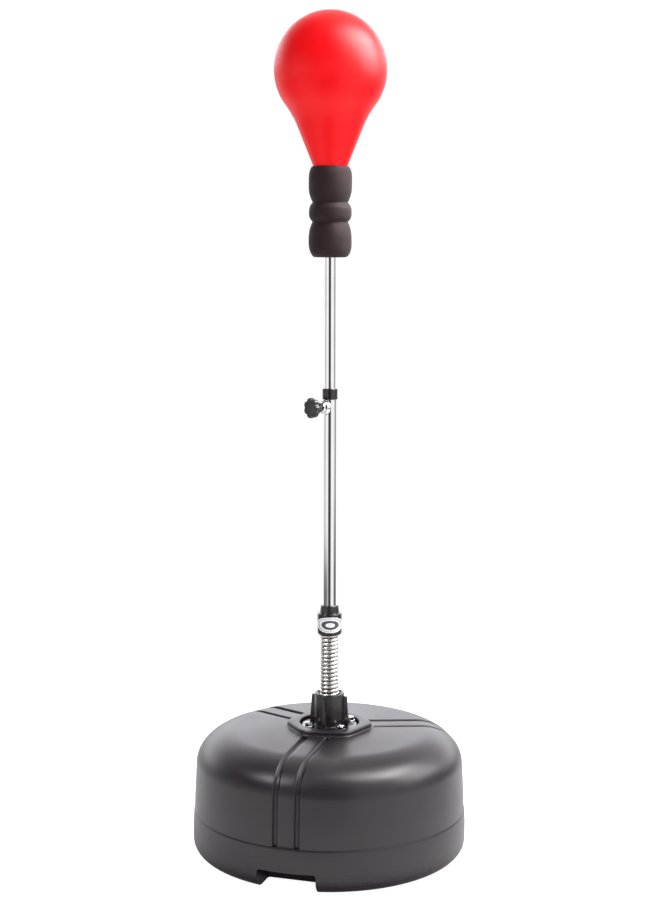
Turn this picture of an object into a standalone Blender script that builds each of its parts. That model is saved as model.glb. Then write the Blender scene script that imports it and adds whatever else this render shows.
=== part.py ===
"""A free-standing punch ball: a ball on a telescopic mast, carried by a coil spring on a weighted base.

Metres, +Z up. The origin is the centre of the base where it meets the floor. The first of the base's
three bands runs towards -Y, the front. Heights are measured from the floor, radii from the mast's axis
and turns from the front towards +X.
"""

import math

import bmesh
import bpy
from mathutils import Matrix, Vector

NAME = "punch_ball"
MERGE = 0.00002
GAP = 0.0003  # clearance left between pieces that rest on each other

# Turned steps round a full circle
BASE_STEPS = 48
BALL_STEPS = 28
BODY_STEPS = 24
SMALL_STEPS = 16
TINY_STEPS = 12

# Base shell
BASE_RADIUS = 0.2285
FOOT_RADIUS = 0.2049
FOOT_FILLET = BASE_RADIUS - FOOT_RADIUS
BASE_STRAIGHT_TOP = 0.050
SEAM_Z = 0.0720
SEAM_LIP = 0.0015
SEAM_LOW_RADIUS = 0.2272
SEAM_HIGH_RADIUS = 0.2262
SIDE_RADIUS = 0.2255
SIDE_Z = 0.100
SHOULDER_CENTRE_RADIUS = 0.150
SHOULDER_CENTRE_Z = 0.150
SHOULDER_OUT = 0.0728
SHOULDER_UP = 0.0550
CROWN_RADIUS = 0.056
CROWN_Z = 0.2097
BASE_WALL = 0.0055

# Collar round the spring socket, and the pad that the socket is bolted to
COLLAR_TOP = 0.2170
COLLAR_BOTTOM = 0.2000
COLLAR_RADIUS = 0.0733
COLLAR_SIDES = 6
COLLAR_TURN = math.radians(12)
COLLAR_CORNER = 0.010
COLLAR_EDGE = 0.0022
RECESS_RADIUS = 0.0495
PAD_Z = 0.2060
PAD_UNDERSIDE = 0.1860
PAD_BOSS_RADIUS = 0.0500

# Bands: a flat strip between two grooves
BANDS = 3
GROOVE_DEPTH = 0.0032
GROOVE_WIDTH = 0.0096
GROOVE_OFFSET = 0.0183

# Hand pockets at the floor, one under each band
POCKET_WIDTH = 0.098
POCKET_BACK = 0.166
POCKET_HEIGHT = 0.034
POCKET_WALL = 0.0045

# Filling port, in the side wall midway between the two rear bands
PORT_TURN = math.radians(180)
PORT_Z = 0.130
PORT_SEAT = 0.2215
PORT_SEAT_RADIUS = 0.0168
PORT_HOLE_RADIUS = 0.0116
SEAL_THICKNESS = 0.0015
SEAL_RADIUS = 0.0150
CAP_RADIUS = 0.0156
CAP_THICKNESS = 0.0046
CAP_SHANK_RADIUS = 0.0108
CAP_SHANK_LENGTH = 0.0100
CAP_SLOT_WIDTH = 0.0030
CAP_SLOT_DEPTH = 0.0016

# Spring socket
FLANGE_RADIUS = 0.0465
FLANGE_TOP = 0.2130
SOCKET_RADIUS = 0.0250
SOCKET_TOP = 0.2670
SOCKET_FLOOR = 0.2325
SPRING_BORE_RADIUS = 0.0178
SOCKET_CHAMFER = 0.0035
SOCKET_RIBS = 4
SOCKET_RIB_TOP = 0.2620
SOCKET_RIB_RADIUS_TOP = 0.0305
SOCKET_RIB_RADIUS_BOTTOM = 0.0335
SOCKET_RIB_TOP_WIDTH = 0.0036
SOCKET_RIB_BOTTOM_WIDTH = 0.0070

# M8 fasteners between the socket and the base
BOLTS = 4
BOLT_CIRCLE = 0.0388
M8_RADIUS = 0.0040
M8_HOLE_RADIUS = 0.0046
M8_HEAD_RADIUS = 0.0075
M8_HEAD_HEIGHT = 0.0053
M8_DOME = 0.0014
BOLT_TIP_Z = 0.1935
WASHER_RADIUS = 0.0085
WASHER_THICKNESS = 0.0014
INSERT_RADIUS = 0.0062
INSERT_BORE_RADIUS = 0.0044
INSERT_BOTTOM = 0.1925
INSERT_HOLE_RADIUS = 0.0065
INSERT_HOLE_BOTTOM = 0.1900

# Anchor screw under the socket's floor
ANCHOR_POCKET_RADIUS = 0.0088
ANCHOR_POCKET_TOP = 0.2150
ANCHOR_TOP = 0.2500

# Spring
WIRE_RADIUS = 0.0030
COIL_RADIUS = 0.0136
COIL_PITCH = 0.0067
COIL_BOTTOM = 0.2395
COIL_TOP = 0.3903
COIL_POINTS = 10

# Plugs inside the spring's end coils
PLUG_FLANGE_RADIUS = 0.0162
PLUG_CORE_RADIUS = 0.0096
PLUG_FLANGE = 0.0032
LOWER_PLUG_TOP = 0.2620
LOWER_PLUG_BORE_TOP = 0.2525
UPPER_PLUG_BOTTOM = 0.3653
UPPER_PLUG_SPIGOT_TOP = 0.4270
SPIGOT_RADIUS = 0.0093

# Coupler over the spring's top end
COUPLER_TOP = 0.4158
COUPLER_TOP_RADIUS = 0.0145
COUPLER_NECK_Z = 0.4035
COUPLER_NECK_RADIUS = 0.0158
COUPLER_SHOULDER_Z = 0.4018
COUPLER_RADIUS = 0.0202
COUPLER_CHAMFER_Z = 0.3695
COUPLER_BOTTOM = 0.3670
COUPLER_BOTTOM_RADIUS = 0.0192
COUPLER_SCREW_Z = 0.4100
GRUB_RADIUS = 0.0023
GRUB_HOLE_RADIUS = 0.0027
GRUB_SOCKET_RADIUS = 0.0012
GRUB_SOCKET_DEPTH = 0.0012

# Badge on the coupler, turned away from the front band
BADGE_TURN = math.radians(21)
BADGE_HALF_TURN = math.radians(75)
BADGE_HALF_HEIGHT = 0.0132
BADGE_Z = 0.3857
BADGE_THICKNESS = 0.0006
BADGE_POINTS = 28
BADGE_TOOL_RADII = (0.012, 0.031)

# Tubes
LOWER_TUBE_RADIUS = 0.0110
LOWER_TUBE_BORE = 0.0098
LOWER_TUBE_TOP = 0.7743
UPPER_TUBE_RADIUS = 0.0095
UPPER_TUBE_BORE = 0.0083
UPPER_TUBE_BOTTOM = 0.5550
UPPER_TUBE_TOP = 1.1002
END_PLUG_LENGTH = 0.0150
END_PLUG_FLANGE = 0.0027
END_PLUG_RADIUS = 0.00945
END_PLUG_SPIGOT = 0.0080

# Plastic collar at the lower tube's mouth
TUBE_COLLAR_RADIUS = 0.0125
TUBE_COLLAR_TOP = 0.7772
TUBE_COLLAR_BOTTOM = 0.7592
TUBE_COLLAR_EDGE = 0.0005

# Clamp: distances run outward from the mast's axis
CLAMP_Z = 0.7469
CLAMP_TURN = math.radians(-34.2)
PAD_RADIUS = 0.0037
PAD_INNER = 0.0099
PAD_OUTER = 0.0112
CLAMP_HOLE_RADIUS = 0.0044
BOSS_INNER = 0.0075
BOSS_FLANGE_RADIUS = 0.0115
BOSS_FLANGE_OUTER = 0.0148
BOSS_RADIUS = 0.0075
BOSS_OUTER = 0.0180
STUD_OUTER = 0.0375
KNOB_HUB_INNER_RADIUS = 0.0063
KNOB_HUB_OUTER_RADIUS = 0.0120
KNOB_HEAD_INNER = 0.0320
KNOB_HEAD_OUTER = 0.0420
KNOB_RADIUS = 0.0170
KNOB_LOBES = 7
KNOB_LOBE_DIP = 0.0026
KNOB_POINTS = 42
KNOB_EDGE = 0.0018

# Foam sleeve: three cushions between two waists
FOAM_BOTTOM = 0.9905
FOAM_TOP = 1.1362
FOAM_BOTTOM_RADIUS = 0.0255
FOAM_TOP_RADIUS = 0.0288
FOAM_WAISTS = (1.0474, 1.0785)
FOAM_WAIST_RADIUS = 0.0288
FOAM_PEAKS = ((0.0348, 1.0165), (0.0345, 1.0625), (0.0351, 1.1115))
FOAM_BLUNT = 0.7  # how square the sleeve's ends are
FOAM_SOFT = 1.2  # how square the cushions are at a waist
FOAM_STEPS = 4  # points on each half of a cushion
FOAM_BORE = 0.0099
FOAM_CUP_RADIUS = 0.0262
FOAM_CUP_BOTTOM = 1.0835
FOAM_CUP_MOUTH = (0.0283, 1.1275)  # radius at the top, and the height where it starts to widen

# Ball and its mount
BALL_RADIUS = 0.09075
BALL_UP = 0.0940
BALL_DOWN = 0.0919
BALL_CENTRE_Z = 1.2885
BALL_WALL = 0.0018
BALL_LEAVES_ROUND = math.radians(-37)
CONE_TOP = (0.0538, 1.2007)
CONE_BOTTOM = (0.0281, 1.1370)
THROAT = (0.0252, 1.1340)
NECK_TOP_Z = 1.1310
NECK_BOTTOM_Z = 1.1050
NECK_RADIUS = 0.0236
MOUNT_RADIUS = 0.0214
MOUNT_TOP = 1.1400
MOUNT_BOTTOM = 1.0885
NECK_CLAMP_BOTTOM = 1.1100
NECK_CLAMP_TOP = 1.1180
NECK_CLAMP_THICKNESS = 0.0012
VALVE_RADIUS = 0.0050
VALVE_HOLE_RADIUS = 0.0054
VALVE_FLANGE_RADIUS = 0.0100
VALVE_FLANGE = 0.0014
VALVE_DEPTH = 0.0085
VALVE_NEEDLE_RADIUS = 0.0011

parts = bpy.data.collections.new(NAME)
cutters = bpy.data.collections.new("cutters")


def start_scene():
    """Empties the scene and links the two collections."""
    for old in list(bpy.data.objects):
        bpy.data.objects.remove(old)
    for collection in (parts, cutters):
        bpy.context.scene.collection.children.link(collection)


def make_material(name, colour, roughness, metallic):
    """A Principled BSDF material."""
    material = bpy.data.materials.new(name)
    material.use_nodes = True
    shader = material.node_tree.nodes["Principled BSDF"]
    shader.inputs["Base Color"].default_value = (*colour, 1)
    shader.inputs["Roughness"].default_value = roughness
    shader.inputs["Metallic"].default_value = metallic
    return material


def outward(turn, height):
    """A frame on the mast's axis whose Z points out at this turn from the front, towards +X."""
    direction = Vector((math.sin(turn), -math.cos(turn), 0))
    return Matrix.Translation((0, 0, height)) @ direction.to_track_quat("Z", "Y").to_matrix().to_4x4()


def on_circle(count, radius, height, first_turn):
    """Frames evenly spaced on a level circle."""
    turns = [first_turn + math.tau * index / count for index in range(count)]
    return [
        Matrix.Translation((radius * math.sin(turn), -radius * math.cos(turn), height))
        @ Matrix.Rotation(turn, 4, "Z")
        for turn in turns
    ]


def add_part(name, mesh, material, frame=None):
    """A visible piece."""
    piece = bpy.data.objects.new(name, mesh)
    piece.matrix_world = frame or Matrix.Identity(4)
    mesh.materials.append(material)
    parts.objects.link(piece)
    return piece


def add_cutter(name, mesh, frame=None):
    """A helper that shapes other pieces."""
    piece = bpy.data.objects.new(name, mesh)
    piece.matrix_world = frame or Matrix.Identity(4)
    piece.hide_render = True
    piece.display_type = "WIRE"
    cutters.objects.link(piece)
    return piece


def boolean(piece, tool, operation):
    """Cuts, joins or intersects a piece with a tool."""
    modifier = piece.modifiers.new(tool.name, "BOOLEAN")
    modifier.operation = operation
    modifier.object = tool


def outline_mesh(name, outline, ring):
    """The outline of a turned shape, as (radius, height) points joined by edges."""
    mesh = bpy.data.meshes.new(name)
    count = len(outline)
    edges = [(index, index + 1) for index in range(count - 1)]
    if ring:
        edges.append((count - 1, 0))
    mesh.from_pydata([(radius, 0, height) for radius, height in outline], edges, [])
    return mesh


def turn(piece, steps):
    """Turns a piece's outline about its own Z."""
    screw = piece.modifiers.new("turn", "SCREW")
    screw.steps = steps
    screw.render_steps = steps
    screw.use_merge_vertices = True
    screw.merge_threshold = MERGE


def turned(name, outline, material, steps=BODY_STEPS, frame=None, ring=False):
    """A turned piece. Its outline runs down the outer side, and a ring's outline closes on itself."""
    piece = add_part(name, outline_mesh(name, outline, ring), material, frame)
    turn(piece, steps)
    return piece


def turned_cutter(name, outline, steps=BODY_STEPS, frame=None):
    """A turned helper."""
    piece = add_cutter(name, outline_mesh(name, outline, False), frame)
    turn(piece, steps)
    return piece


def rod(radius, low, high):
    """The outline of a plain cylinder."""
    return [(0, high), (radius, high), (radius, low), (0, low)]


def sleeve(outer, inner, low, high):
    """The outline of a plain ring."""
    return [(outer, high), (outer, low), (inner, low), (inner, high)]


def arc(centre, radius, start, end, steps):
    """Points on a circle, in degrees from the outward direction."""
    angles = [math.radians(start + (end - start) * index / steps) for index in range(steps + 1)]
    return [(centre[0] + radius * math.cos(a), centre[1] + radius * math.sin(a)) for a in angles]


def bezier(start, start_pull, end_pull, end, steps):
    """Points on a cubic curve, without its first point."""
    points = []
    for index in range(1, steps + 1):
        t = index / steps
        weights = ((1 - t) ** 3, 3 * t * (1 - t) ** 2, 3 * t**2 * (1 - t), t**3)
        corners = (start, start_pull, end_pull, end)
        points.append(tuple(sum(w * c[axis] for w, c in zip(weights, corners)) for axis in (0, 1)))
    return points


def from_bmesh(name, bm):
    """A mesh with outward faces."""
    bmesh.ops.recalc_face_normals(bm, faces=bm.faces)
    mesh = bpy.data.meshes.new(name)
    bm.to_mesh(mesh)
    bm.free()
    return mesh


def cylinder_mesh(name, radius, low, high, sides, top_radius=None):
    """A cylinder, prism or cone about Z."""
    bm = bmesh.new()
    middle = Matrix.Translation((0, 0, (low + high) / 2))
    top = radius if top_radius is None else top_radius
    bmesh.ops.create_cone(
        bm, cap_ends=True, segments=sides, radius1=radius, radius2=top, depth=high - low, matrix=middle
    )
    return from_bmesh(name, bm)


def box_mesh(name, low, high):
    """A box between two corners."""
    bm = bmesh.new()
    bmesh.ops.create_cube(bm, size=1)
    for vertex in bm.verts:
        vertex.co = [low[a] if vertex.co[a] < 0 else high[a] for a in range(3)]
    return from_bmesh(name, bm)


def plate_mesh(name, outline, low, high):
    """A flat outline in X and Y, given thickness along Z."""
    bm = bmesh.new()
    face = bm.faces.new([bm.verts.new((x, y, low)) for x, y in outline])
    lifted = bmesh.ops.extrude_face_region(bm, geom=[face])["geom"]
    moved = [item for item in lifted if isinstance(item, bmesh.types.BMVert)]
    bmesh.ops.translate(bm, vec=(0, 0, high - low), verts=moved)
    return from_bmesh(name, bm)


# Base ---------------------------------------------------------------------------------------------


def upper_skin(depth, steps):
    """The base from its crown to its seam, this far under the surface."""
    points = [(CROWN_RADIUS, CROWN_Z - depth)]
    for index in range(steps + 1):
        angle = math.pi / 2 * (1 - index / steps)
        points.append(
            (
                SHOULDER_CENTRE_RADIUS + (SHOULDER_OUT - depth) * math.cos(angle),
                SHOULDER_CENTRE_Z + (SHOULDER_UP - depth) * math.sin(angle),
            )
        )
    points.append((SIDE_RADIUS - depth, SIDE_Z))
    points.append((SEAM_HIGH_RADIUS - depth, SEAM_Z + SEAM_LIP))
    return points


def lower_skin(depth, steps):
    """The base from its seam to its foot, this far under the surface."""
    foot = arc((FOOT_RADIUS, FOOT_FILLET), FOOT_FILLET - depth, 0, -90, steps)
    return [(SEAM_LOW_RADIUS - depth, SEAM_Z), (BASE_RADIUS - depth, BASE_STRAIGHT_TOP)] + foot


def groove_tool(index, side):
    """A groove along one edge of a band, running from under the collar to the seam."""
    middle = side * GROOVE_OFFSET
    floor = []
    for radius, height in upper_skin(GROOVE_DEPTH, 8):
        along = math.sqrt(max(radius**2 - GROOVE_OFFSET**2, 0))
        floor.append((along, height))
    beyond = BASE_RADIUS + BASE_WALL
    above = COLLAR_TOP + BASE_WALL
    outline = floor + [(beyond, floor[-1][1]), (beyond, above), (floor[0][0], above)]
    mesh = plate_mesh("groove", outline, middle - GROOVE_WIDTH / 2, middle + GROOVE_WIDTH / 2)
    band_turn = math.tau * index / BANDS - math.pi / 2
    upright = Matrix.Rotation(band_turn, 4, "Z") @ Matrix.Rotation(math.pi / 2, 4, "X")
    return add_cutter(f"groove_{index}_{side}", mesh, upright)


def collar_tool():
    """The raised collar: a six-sided ring with soft corners."""
    bm = bmesh.new()
    middle = Matrix.Translation((0, 0, (COLLAR_TOP + COLLAR_BOTTOM) / 2))
    turned_round = Matrix.Rotation(COLLAR_TURN, 4, "Z")
    bmesh.ops.create_cone(
        bm, cap_ends=True, segments=COLLAR_SIDES, radius1=COLLAR_RADIUS, radius2=COLLAR_RADIUS,
        depth=COLLAR_TOP - COLLAR_BOTTOM, matrix=middle @ turned_round,
    )
    upright = [e for e in bm.edges if abs(e.verts[0].co.z - e.verts[1].co.z) > GAP]
    bmesh.ops.bevel(bm, geom=upright, offset=COLLAR_CORNER, segments=3, affect="EDGES", profile=0.5)
    rim = [e for e in bm.edges if min(v.co.z for v in e.verts) > COLLAR_TOP - GAP]
    bmesh.ops.bevel(bm, geom=rim, offset=COLLAR_EDGE, segments=1, affect="EDGES")
    return add_cutter("collar", from_bmesh("collar", bm))


def pocket_tools(index):
    """A hand pocket and the room its walls need inside the base."""
    half = POCKET_WIDTH / 2
    beyond = BASE_RADIUS + BASE_WALL
    frame = Matrix.Rotation(math.tau * index / BANDS, 4, "Z")
    pocket = box_mesh("pocket", (-half, -beyond, -BASE_WALL), (half, -POCKET_BACK, POCKET_HEIGHT))
    grown = half + POCKET_WALL
    room = box_mesh(
        "pocket_room",
        (-grown, -beyond, -BASE_WALL),
        (grown, POCKET_WALL - POCKET_BACK, POCKET_HEIGHT + POCKET_WALL),
    )
    return add_cutter(f"pocket_{index}", pocket, frame), add_cutter(f"room_{index}", room, frame)


def make_base(material, bolt_frames, port_frame):
    """The hollow base with its bands, collar, pad, pockets and filling port."""
    outline = [(0, CROWN_Z)] + upper_skin(0, 9) + lower_skin(0, 5) + [(0, 0)]
    base = turned("base_shell", outline, material, BASE_STEPS)
    inside = [(0, PAD_UNDERSIDE), (PAD_BOSS_RADIUS, PAD_UNDERSIDE)] + upper_skin(BASE_WALL, 5)
    inside += lower_skin(BASE_WALL, 3) + [(0, BASE_WALL)]
    cavity = turned_cutter("cavity", inside)
    for index in range(BANDS):
        pocket, room = pocket_tools(index)
        boolean(cavity, room, "DIFFERENCE")
        boolean(base, pocket, "DIFFERENCE")
    for index in range(BANDS):
        for side in (-1, 1):
            boolean(base, groove_tool(index, side), "DIFFERENCE")
    boolean(base, collar_tool(), "UNION")
    recess = turned_cutter("recess", rod(RECESS_RADIUS, PAD_Z, COLLAR_TOP + BASE_WALL), BASE_STEPS)
    boolean(base, recess, "DIFFERENCE")
    boolean(base, cavity, "DIFFERENCE")
    for index, frame in enumerate(bolt_frames):
        hole = rod(INSERT_HOLE_RADIUS, INSERT_HOLE_BOTTOM - PAD_Z, COLLAR_TOP - PAD_Z)
        boolean(base, turned_cutter(f"insert_hole_{index}", hole, SMALL_STEPS, frame), "DIFFERENCE")
    port = [
        (0, PORT_SEAT + BASE_WALL),
        (PORT_SEAT_RADIUS, PORT_SEAT + BASE_WALL),
        (PORT_SEAT_RADIUS, PORT_SEAT),
        (PORT_HOLE_RADIUS, PORT_SEAT),
        (PORT_HOLE_RADIUS, PORT_SEAT - 2 * BASE_WALL),
        (0, PORT_SEAT - 2 * BASE_WALL),
    ]
    boolean(base, turned_cutter("port", port, BODY_STEPS, port_frame), "DIFFERENCE")


def make_filler(cap_material, seal_material, frame):
    """The filling port's screw cap, with a coin slot, and its flat seal."""
    seal_low = PORT_SEAT + GAP
    seal_high = seal_low + SEAL_THICKNESS
    turned("filler_seal", sleeve(SEAL_RADIUS, CAP_SHANK_RADIUS + GAP, seal_low, seal_high),
           seal_material, BODY_STEPS, frame, True)
    head_low = seal_high + GAP
    head_high = head_low + CAP_THICKNESS
    outline = [
        (0, head_high),
        (CAP_RADIUS - CAP_SLOT_DEPTH, head_high),
        (CAP_RADIUS, head_high - CAP_SLOT_DEPTH),
        (CAP_RADIUS, head_low),
        (CAP_SHANK_RADIUS, head_low),
        (CAP_SHANK_RADIUS, head_low - CAP_SHANK_LENGTH),
        (0, head_low - CAP_SHANK_LENGTH),
    ]
    cap = turned("filler_cap", outline, cap_material, BODY_STEPS, frame)
    half_length = CAP_RADIUS - 2 * CAP_SLOT_DEPTH
    slot = box_mesh(
        "coin_slot",
        (-half_length, -CAP_SLOT_WIDTH / 2, head_high - CAP_SLOT_DEPTH),
        (half_length, CAP_SLOT_WIDTH / 2, head_high + CAP_SLOT_DEPTH),
    )
    boolean(cap, add_cutter("coin_slot", slot, frame), "DIFFERENCE")


# Spring socket and its fasteners --------------------------------------------------------------------


def rib_mesh():
    """One gusset rib of the socket, standing on the flange towards -Y and thicker at its foot."""
    bm = bmesh.new()
    bmesh.ops.create_cube(bm, size=1)
    root = SPRING_BORE_RADIUS + 2 * GAP
    for vertex in bm.verts:
        at_top = vertex.co.z > 0
        width = SOCKET_RIB_TOP_WIDTH if at_top else SOCKET_RIB_BOTTOM_WIDTH
        reach = SOCKET_RIB_RADIUS_TOP if at_top else SOCKET_RIB_RADIUS_BOTTOM
        side = math.copysign(width / 2, vertex.co.x)
        out = reach if vertex.co.y < 0 else root
        height = SOCKET_RIB_TOP if at_top else FLANGE_TOP - 2 * GAP
        vertex.co = (side, -out, height)
    return from_bmesh("rib", bm)


def make_socket(material, bolt_frames):
    """The flanged socket that holds the spring's lower end."""
    bottom = PAD_Z + GAP
    outline = [
        (SPRING_BORE_RADIUS + SOCKET_CHAMFER, SOCKET_TOP),
        (SOCKET_RADIUS - SOCKET_CHAMFER / 4, SOCKET_TOP),
        (SOCKET_RADIUS, SOCKET_TOP - SOCKET_CHAMFER / 4),
        (SOCKET_RADIUS, FLANGE_TOP),
        (FLANGE_RADIUS, FLANGE_TOP),
        (FLANGE_RADIUS, bottom),
        (ANCHOR_POCKET_RADIUS, bottom),
        (ANCHOR_POCKET_RADIUS, ANCHOR_POCKET_TOP),
        (M8_HOLE_RADIUS, ANCHOR_POCKET_TOP),
        (M8_HOLE_RADIUS, SOCKET_FLOOR),
        (SPRING_BORE_RADIUS, SOCKET_FLOOR),
        (SPRING_BORE_RADIUS, SOCKET_TOP - SOCKET_CHAMFER),
    ]
    socket = turned("spring_socket", outline, material, ring=True)
    for index in range(SOCKET_RIBS):
        frame = Matrix.Rotation(math.tau * index / SOCKET_RIBS, 4, "Z")
        boolean(socket, add_cutter(f"rib_{index}", rib_mesh(), frame), "UNION")
    for index, frame in enumerate(bolt_frames):
        hole = rod(M8_HOLE_RADIUS, -GAP, FLANGE_TOP - PAD_Z + GAP)
        boolean(socket, turned_cutter(f"bolt_hole_{index}", hole, SMALL_STEPS, frame), "DIFFERENCE")


def screw_with_head(name, material, low, head_low, frame, dome):
    """A hexagon-headed screw along Z. The head stands up, or points down where low is above it."""
    piece = add_part(name, cylinder_mesh(name, M8_HEAD_RADIUS, head_low, head_low + M8_HEAD_HEIGHT, 6),
                     material, frame)
    reach = M8_DOME if low < head_low else -M8_DOME
    shank_mesh = cylinder_mesh("shank", M8_RADIUS, min(low, head_low + reach), max(low, head_low + reach),
                               TINY_STEPS)
    boolean(piece, add_cutter(f"shank_of_{name}", shank_mesh, frame), "UNION")
    if dome:
        top = head_low + M8_HEAD_HEIGHT
        cap = cylinder_mesh("dome", M8_HEAD_RADIUS - M8_DOME, top - GAP, top + M8_DOME, TINY_STEPS,
                            M8_HEAD_RADIUS / 2)
        boolean(piece, add_cutter(f"dome_of_{name}", cap, frame), "UNION")


def make_socket_fasteners(bright, brass, bolt_frames):
    """Bolts, washers and threaded inserts between the socket and the base."""
    washer_low = FLANGE_TOP + GAP - PAD_Z
    head_low = washer_low + WASHER_THICKNESS + GAP
    for number, frame in enumerate(bolt_frames, 1):
        screw_with_head(f"socket_bolt_{number}", bright, BOLT_TIP_Z - PAD_Z, head_low, frame, True)
        ring = sleeve(WASHER_RADIUS, M8_HOLE_RADIUS, washer_low, washer_low + WASHER_THICKNESS)
        turned(f"socket_washer_{number}", ring, bright, SMALL_STEPS, frame, True)
        ring = sleeve(INSERT_RADIUS, INSERT_BORE_RADIUS, INSERT_BOTTOM - PAD_Z, -GAP)
        turned(f"socket_insert_{number}", ring, brass, SMALL_STEPS, frame, True)


# Spring and its end plugs ---------------------------------------------------------------------------


def make_spring(material):
    """The close-wound right-handed spring."""
    turns = (COIL_TOP - COIL_BOTTOM) / COIL_PITCH
    count = round(turns * COIL_POINTS) + 1
    curve = bpy.data.curves.new("spring", "CURVE")
    curve.dimensions = "3D"
    curve.bevel_depth = WIRE_RADIUS
    curve.bevel_resolution = 2
    curve.use_fill_caps = True
    spline = curve.splines.new("POLY")
    spline.points.add(count - 1)
    for index, point in enumerate(spline.points):
        angle = math.tau * index / COIL_POINTS
        height = COIL_BOTTOM + (COIL_TOP - COIL_BOTTOM) * index / (count - 1)
        point.co = (COIL_RADIUS * math.cos(angle), COIL_RADIUS * math.sin(angle), height, 1)
    curve.materials.append(material)
    parts.objects.link(bpy.data.objects.new("spring", curve))


def make_plugs(material):
    """The steel cores that hold the spring's end coils, and the screw that anchors the lower one."""
    low = SOCKET_FLOOR + GAP
    turned(
        "lower_spring_plug",
        [
            (0, LOWER_PLUG_TOP),
            (PLUG_CORE_RADIUS, LOWER_PLUG_TOP),
            (PLUG_CORE_RADIUS, low + PLUG_FLANGE),
            (PLUG_FLANGE_RADIUS, low + PLUG_FLANGE),
            (PLUG_FLANGE_RADIUS, low),
            (INSERT_BORE_RADIUS, low),
            (INSERT_BORE_RADIUS, LOWER_PLUG_BORE_TOP),
            (0, LOWER_PLUG_BORE_TOP),
        ],
        material,
    )
    head_low = ANCHOR_POCKET_TOP - GAP - M8_HEAD_HEIGHT
    screw_with_head("anchor_screw", material, ANCHOR_TOP, head_low, None, False)
    flange_low = COIL_TOP + WIRE_RADIUS + GAP
    turned(
        "upper_spring_plug",
        [
            (0, UPPER_PLUG_SPIGOT_TOP),
            (SPIGOT_RADIUS, UPPER_PLUG_SPIGOT_TOP),
            (SPIGOT_RADIUS, flange_low + PLUG_FLANGE),
            (PLUG_FLANGE_RADIUS, flange_low + PLUG_FLANGE),
            (PLUG_FLANGE_RADIUS, flange_low),
            (PLUG_CORE_RADIUS, flange_low),
            (PLUG_CORE_RADIUS, UPPER_PLUG_BOTTOM),
            (0, UPPER_PLUG_BOTTOM),
        ],
        material,
    )


# Mast -----------------------------------------------------------------------------------------------


def tube_seat():
    """The height at which the lower tube starts, just above the upper plug's flange."""
    return COIL_TOP + WIRE_RADIUS + PLUG_FLANGE + 2 * GAP


def badge_tool():
    """A wedge about the mast's axis that cuts the badge's oval out of a band."""
    bm = bmesh.new()
    rings = []
    for reach in BADGE_TOOL_RADII:
        middle = bm.verts.new((reach * math.sin(BADGE_TURN), -reach * math.cos(BADGE_TURN), BADGE_Z))
        ring = []
        for index in range(BADGE_POINTS):
            angle = math.tau * index / BADGE_POINTS
            place = BADGE_TURN + BADGE_HALF_TURN * math.cos(angle)
            height = BADGE_Z + BADGE_HALF_HEIGHT * math.sin(angle)
            ring.append(bm.verts.new((reach * math.sin(place), -reach * math.cos(place), height)))
        for first, second in zip(ring, ring[1:] + ring[:1]):
            bm.faces.new((middle, first, second))
        rings.append(ring)
    near, far = rings
    for index in range(BADGE_POINTS):
        bm.faces.new((near[index - 1], near[index], far[index], far[index - 1]))
    return add_cutter("oval", from_bmesh("oval", bm))


def make_coupler(material, screw_material, badge_material):
    """The stepped sleeve over the spring's top end, its grub screw and its plain badge."""
    tube_hole = LOWER_TUBE_RADIUS + GAP
    outline = [
        (COUPLER_TOP_RADIUS, COUPLER_TOP),
        (COUPLER_NECK_RADIUS, COUPLER_NECK_Z),
        (COUPLER_RADIUS - 2 * GAP, COUPLER_SHOULDER_Z + 2 * GAP),
        (COUPLER_RADIUS, COUPLER_SHOULDER_Z),
        (COUPLER_RADIUS, COUPLER_CHAMFER_Z),
        (COUPLER_BOTTOM_RADIUS, COUPLER_BOTTOM),
        (SPRING_BORE_RADIUS, COUPLER_BOTTOM),
        (SPRING_BORE_RADIUS, tube_seat()),
        (tube_hole, tube_seat()),
        (tube_hole, COUPLER_TOP),
    ]
    coupler = turned("coupler", outline, material, ring=True)
    back = outward(BADGE_TURN + math.pi, COUPLER_SCREW_Z)
    hole = rod(GRUB_HOLE_RADIUS, LOWER_TUBE_BORE, COUPLER_RADIUS)
    boolean(coupler, turned_cutter("grub_hole", hole, TINY_STEPS, back), "DIFFERENCE")
    low = LOWER_TUBE_RADIUS + GAP
    high = COUPLER_TOP_RADIUS
    grub = [
        (0, high - GRUB_SOCKET_DEPTH),
        (GRUB_SOCKET_RADIUS, high - GRUB_SOCKET_DEPTH),
        (GRUB_SOCKET_RADIUS, high),
        (GRUB_RADIUS, high),
        (GRUB_RADIUS, low),
        (0, low),
    ]
    turned("coupler_screw", grub, screw_material, TINY_STEPS, back)
    inner = COUPLER_RADIUS + GAP
    band = sleeve(inner + BADGE_THICKNESS, inner, COUPLER_CHAMFER_Z, COUPLER_SHOULDER_Z)
    badge = turned("coupler_badge", band, badge_material, BASE_STEPS, ring=True)
    boolean(badge, badge_tool(), "INTERSECT")


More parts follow.
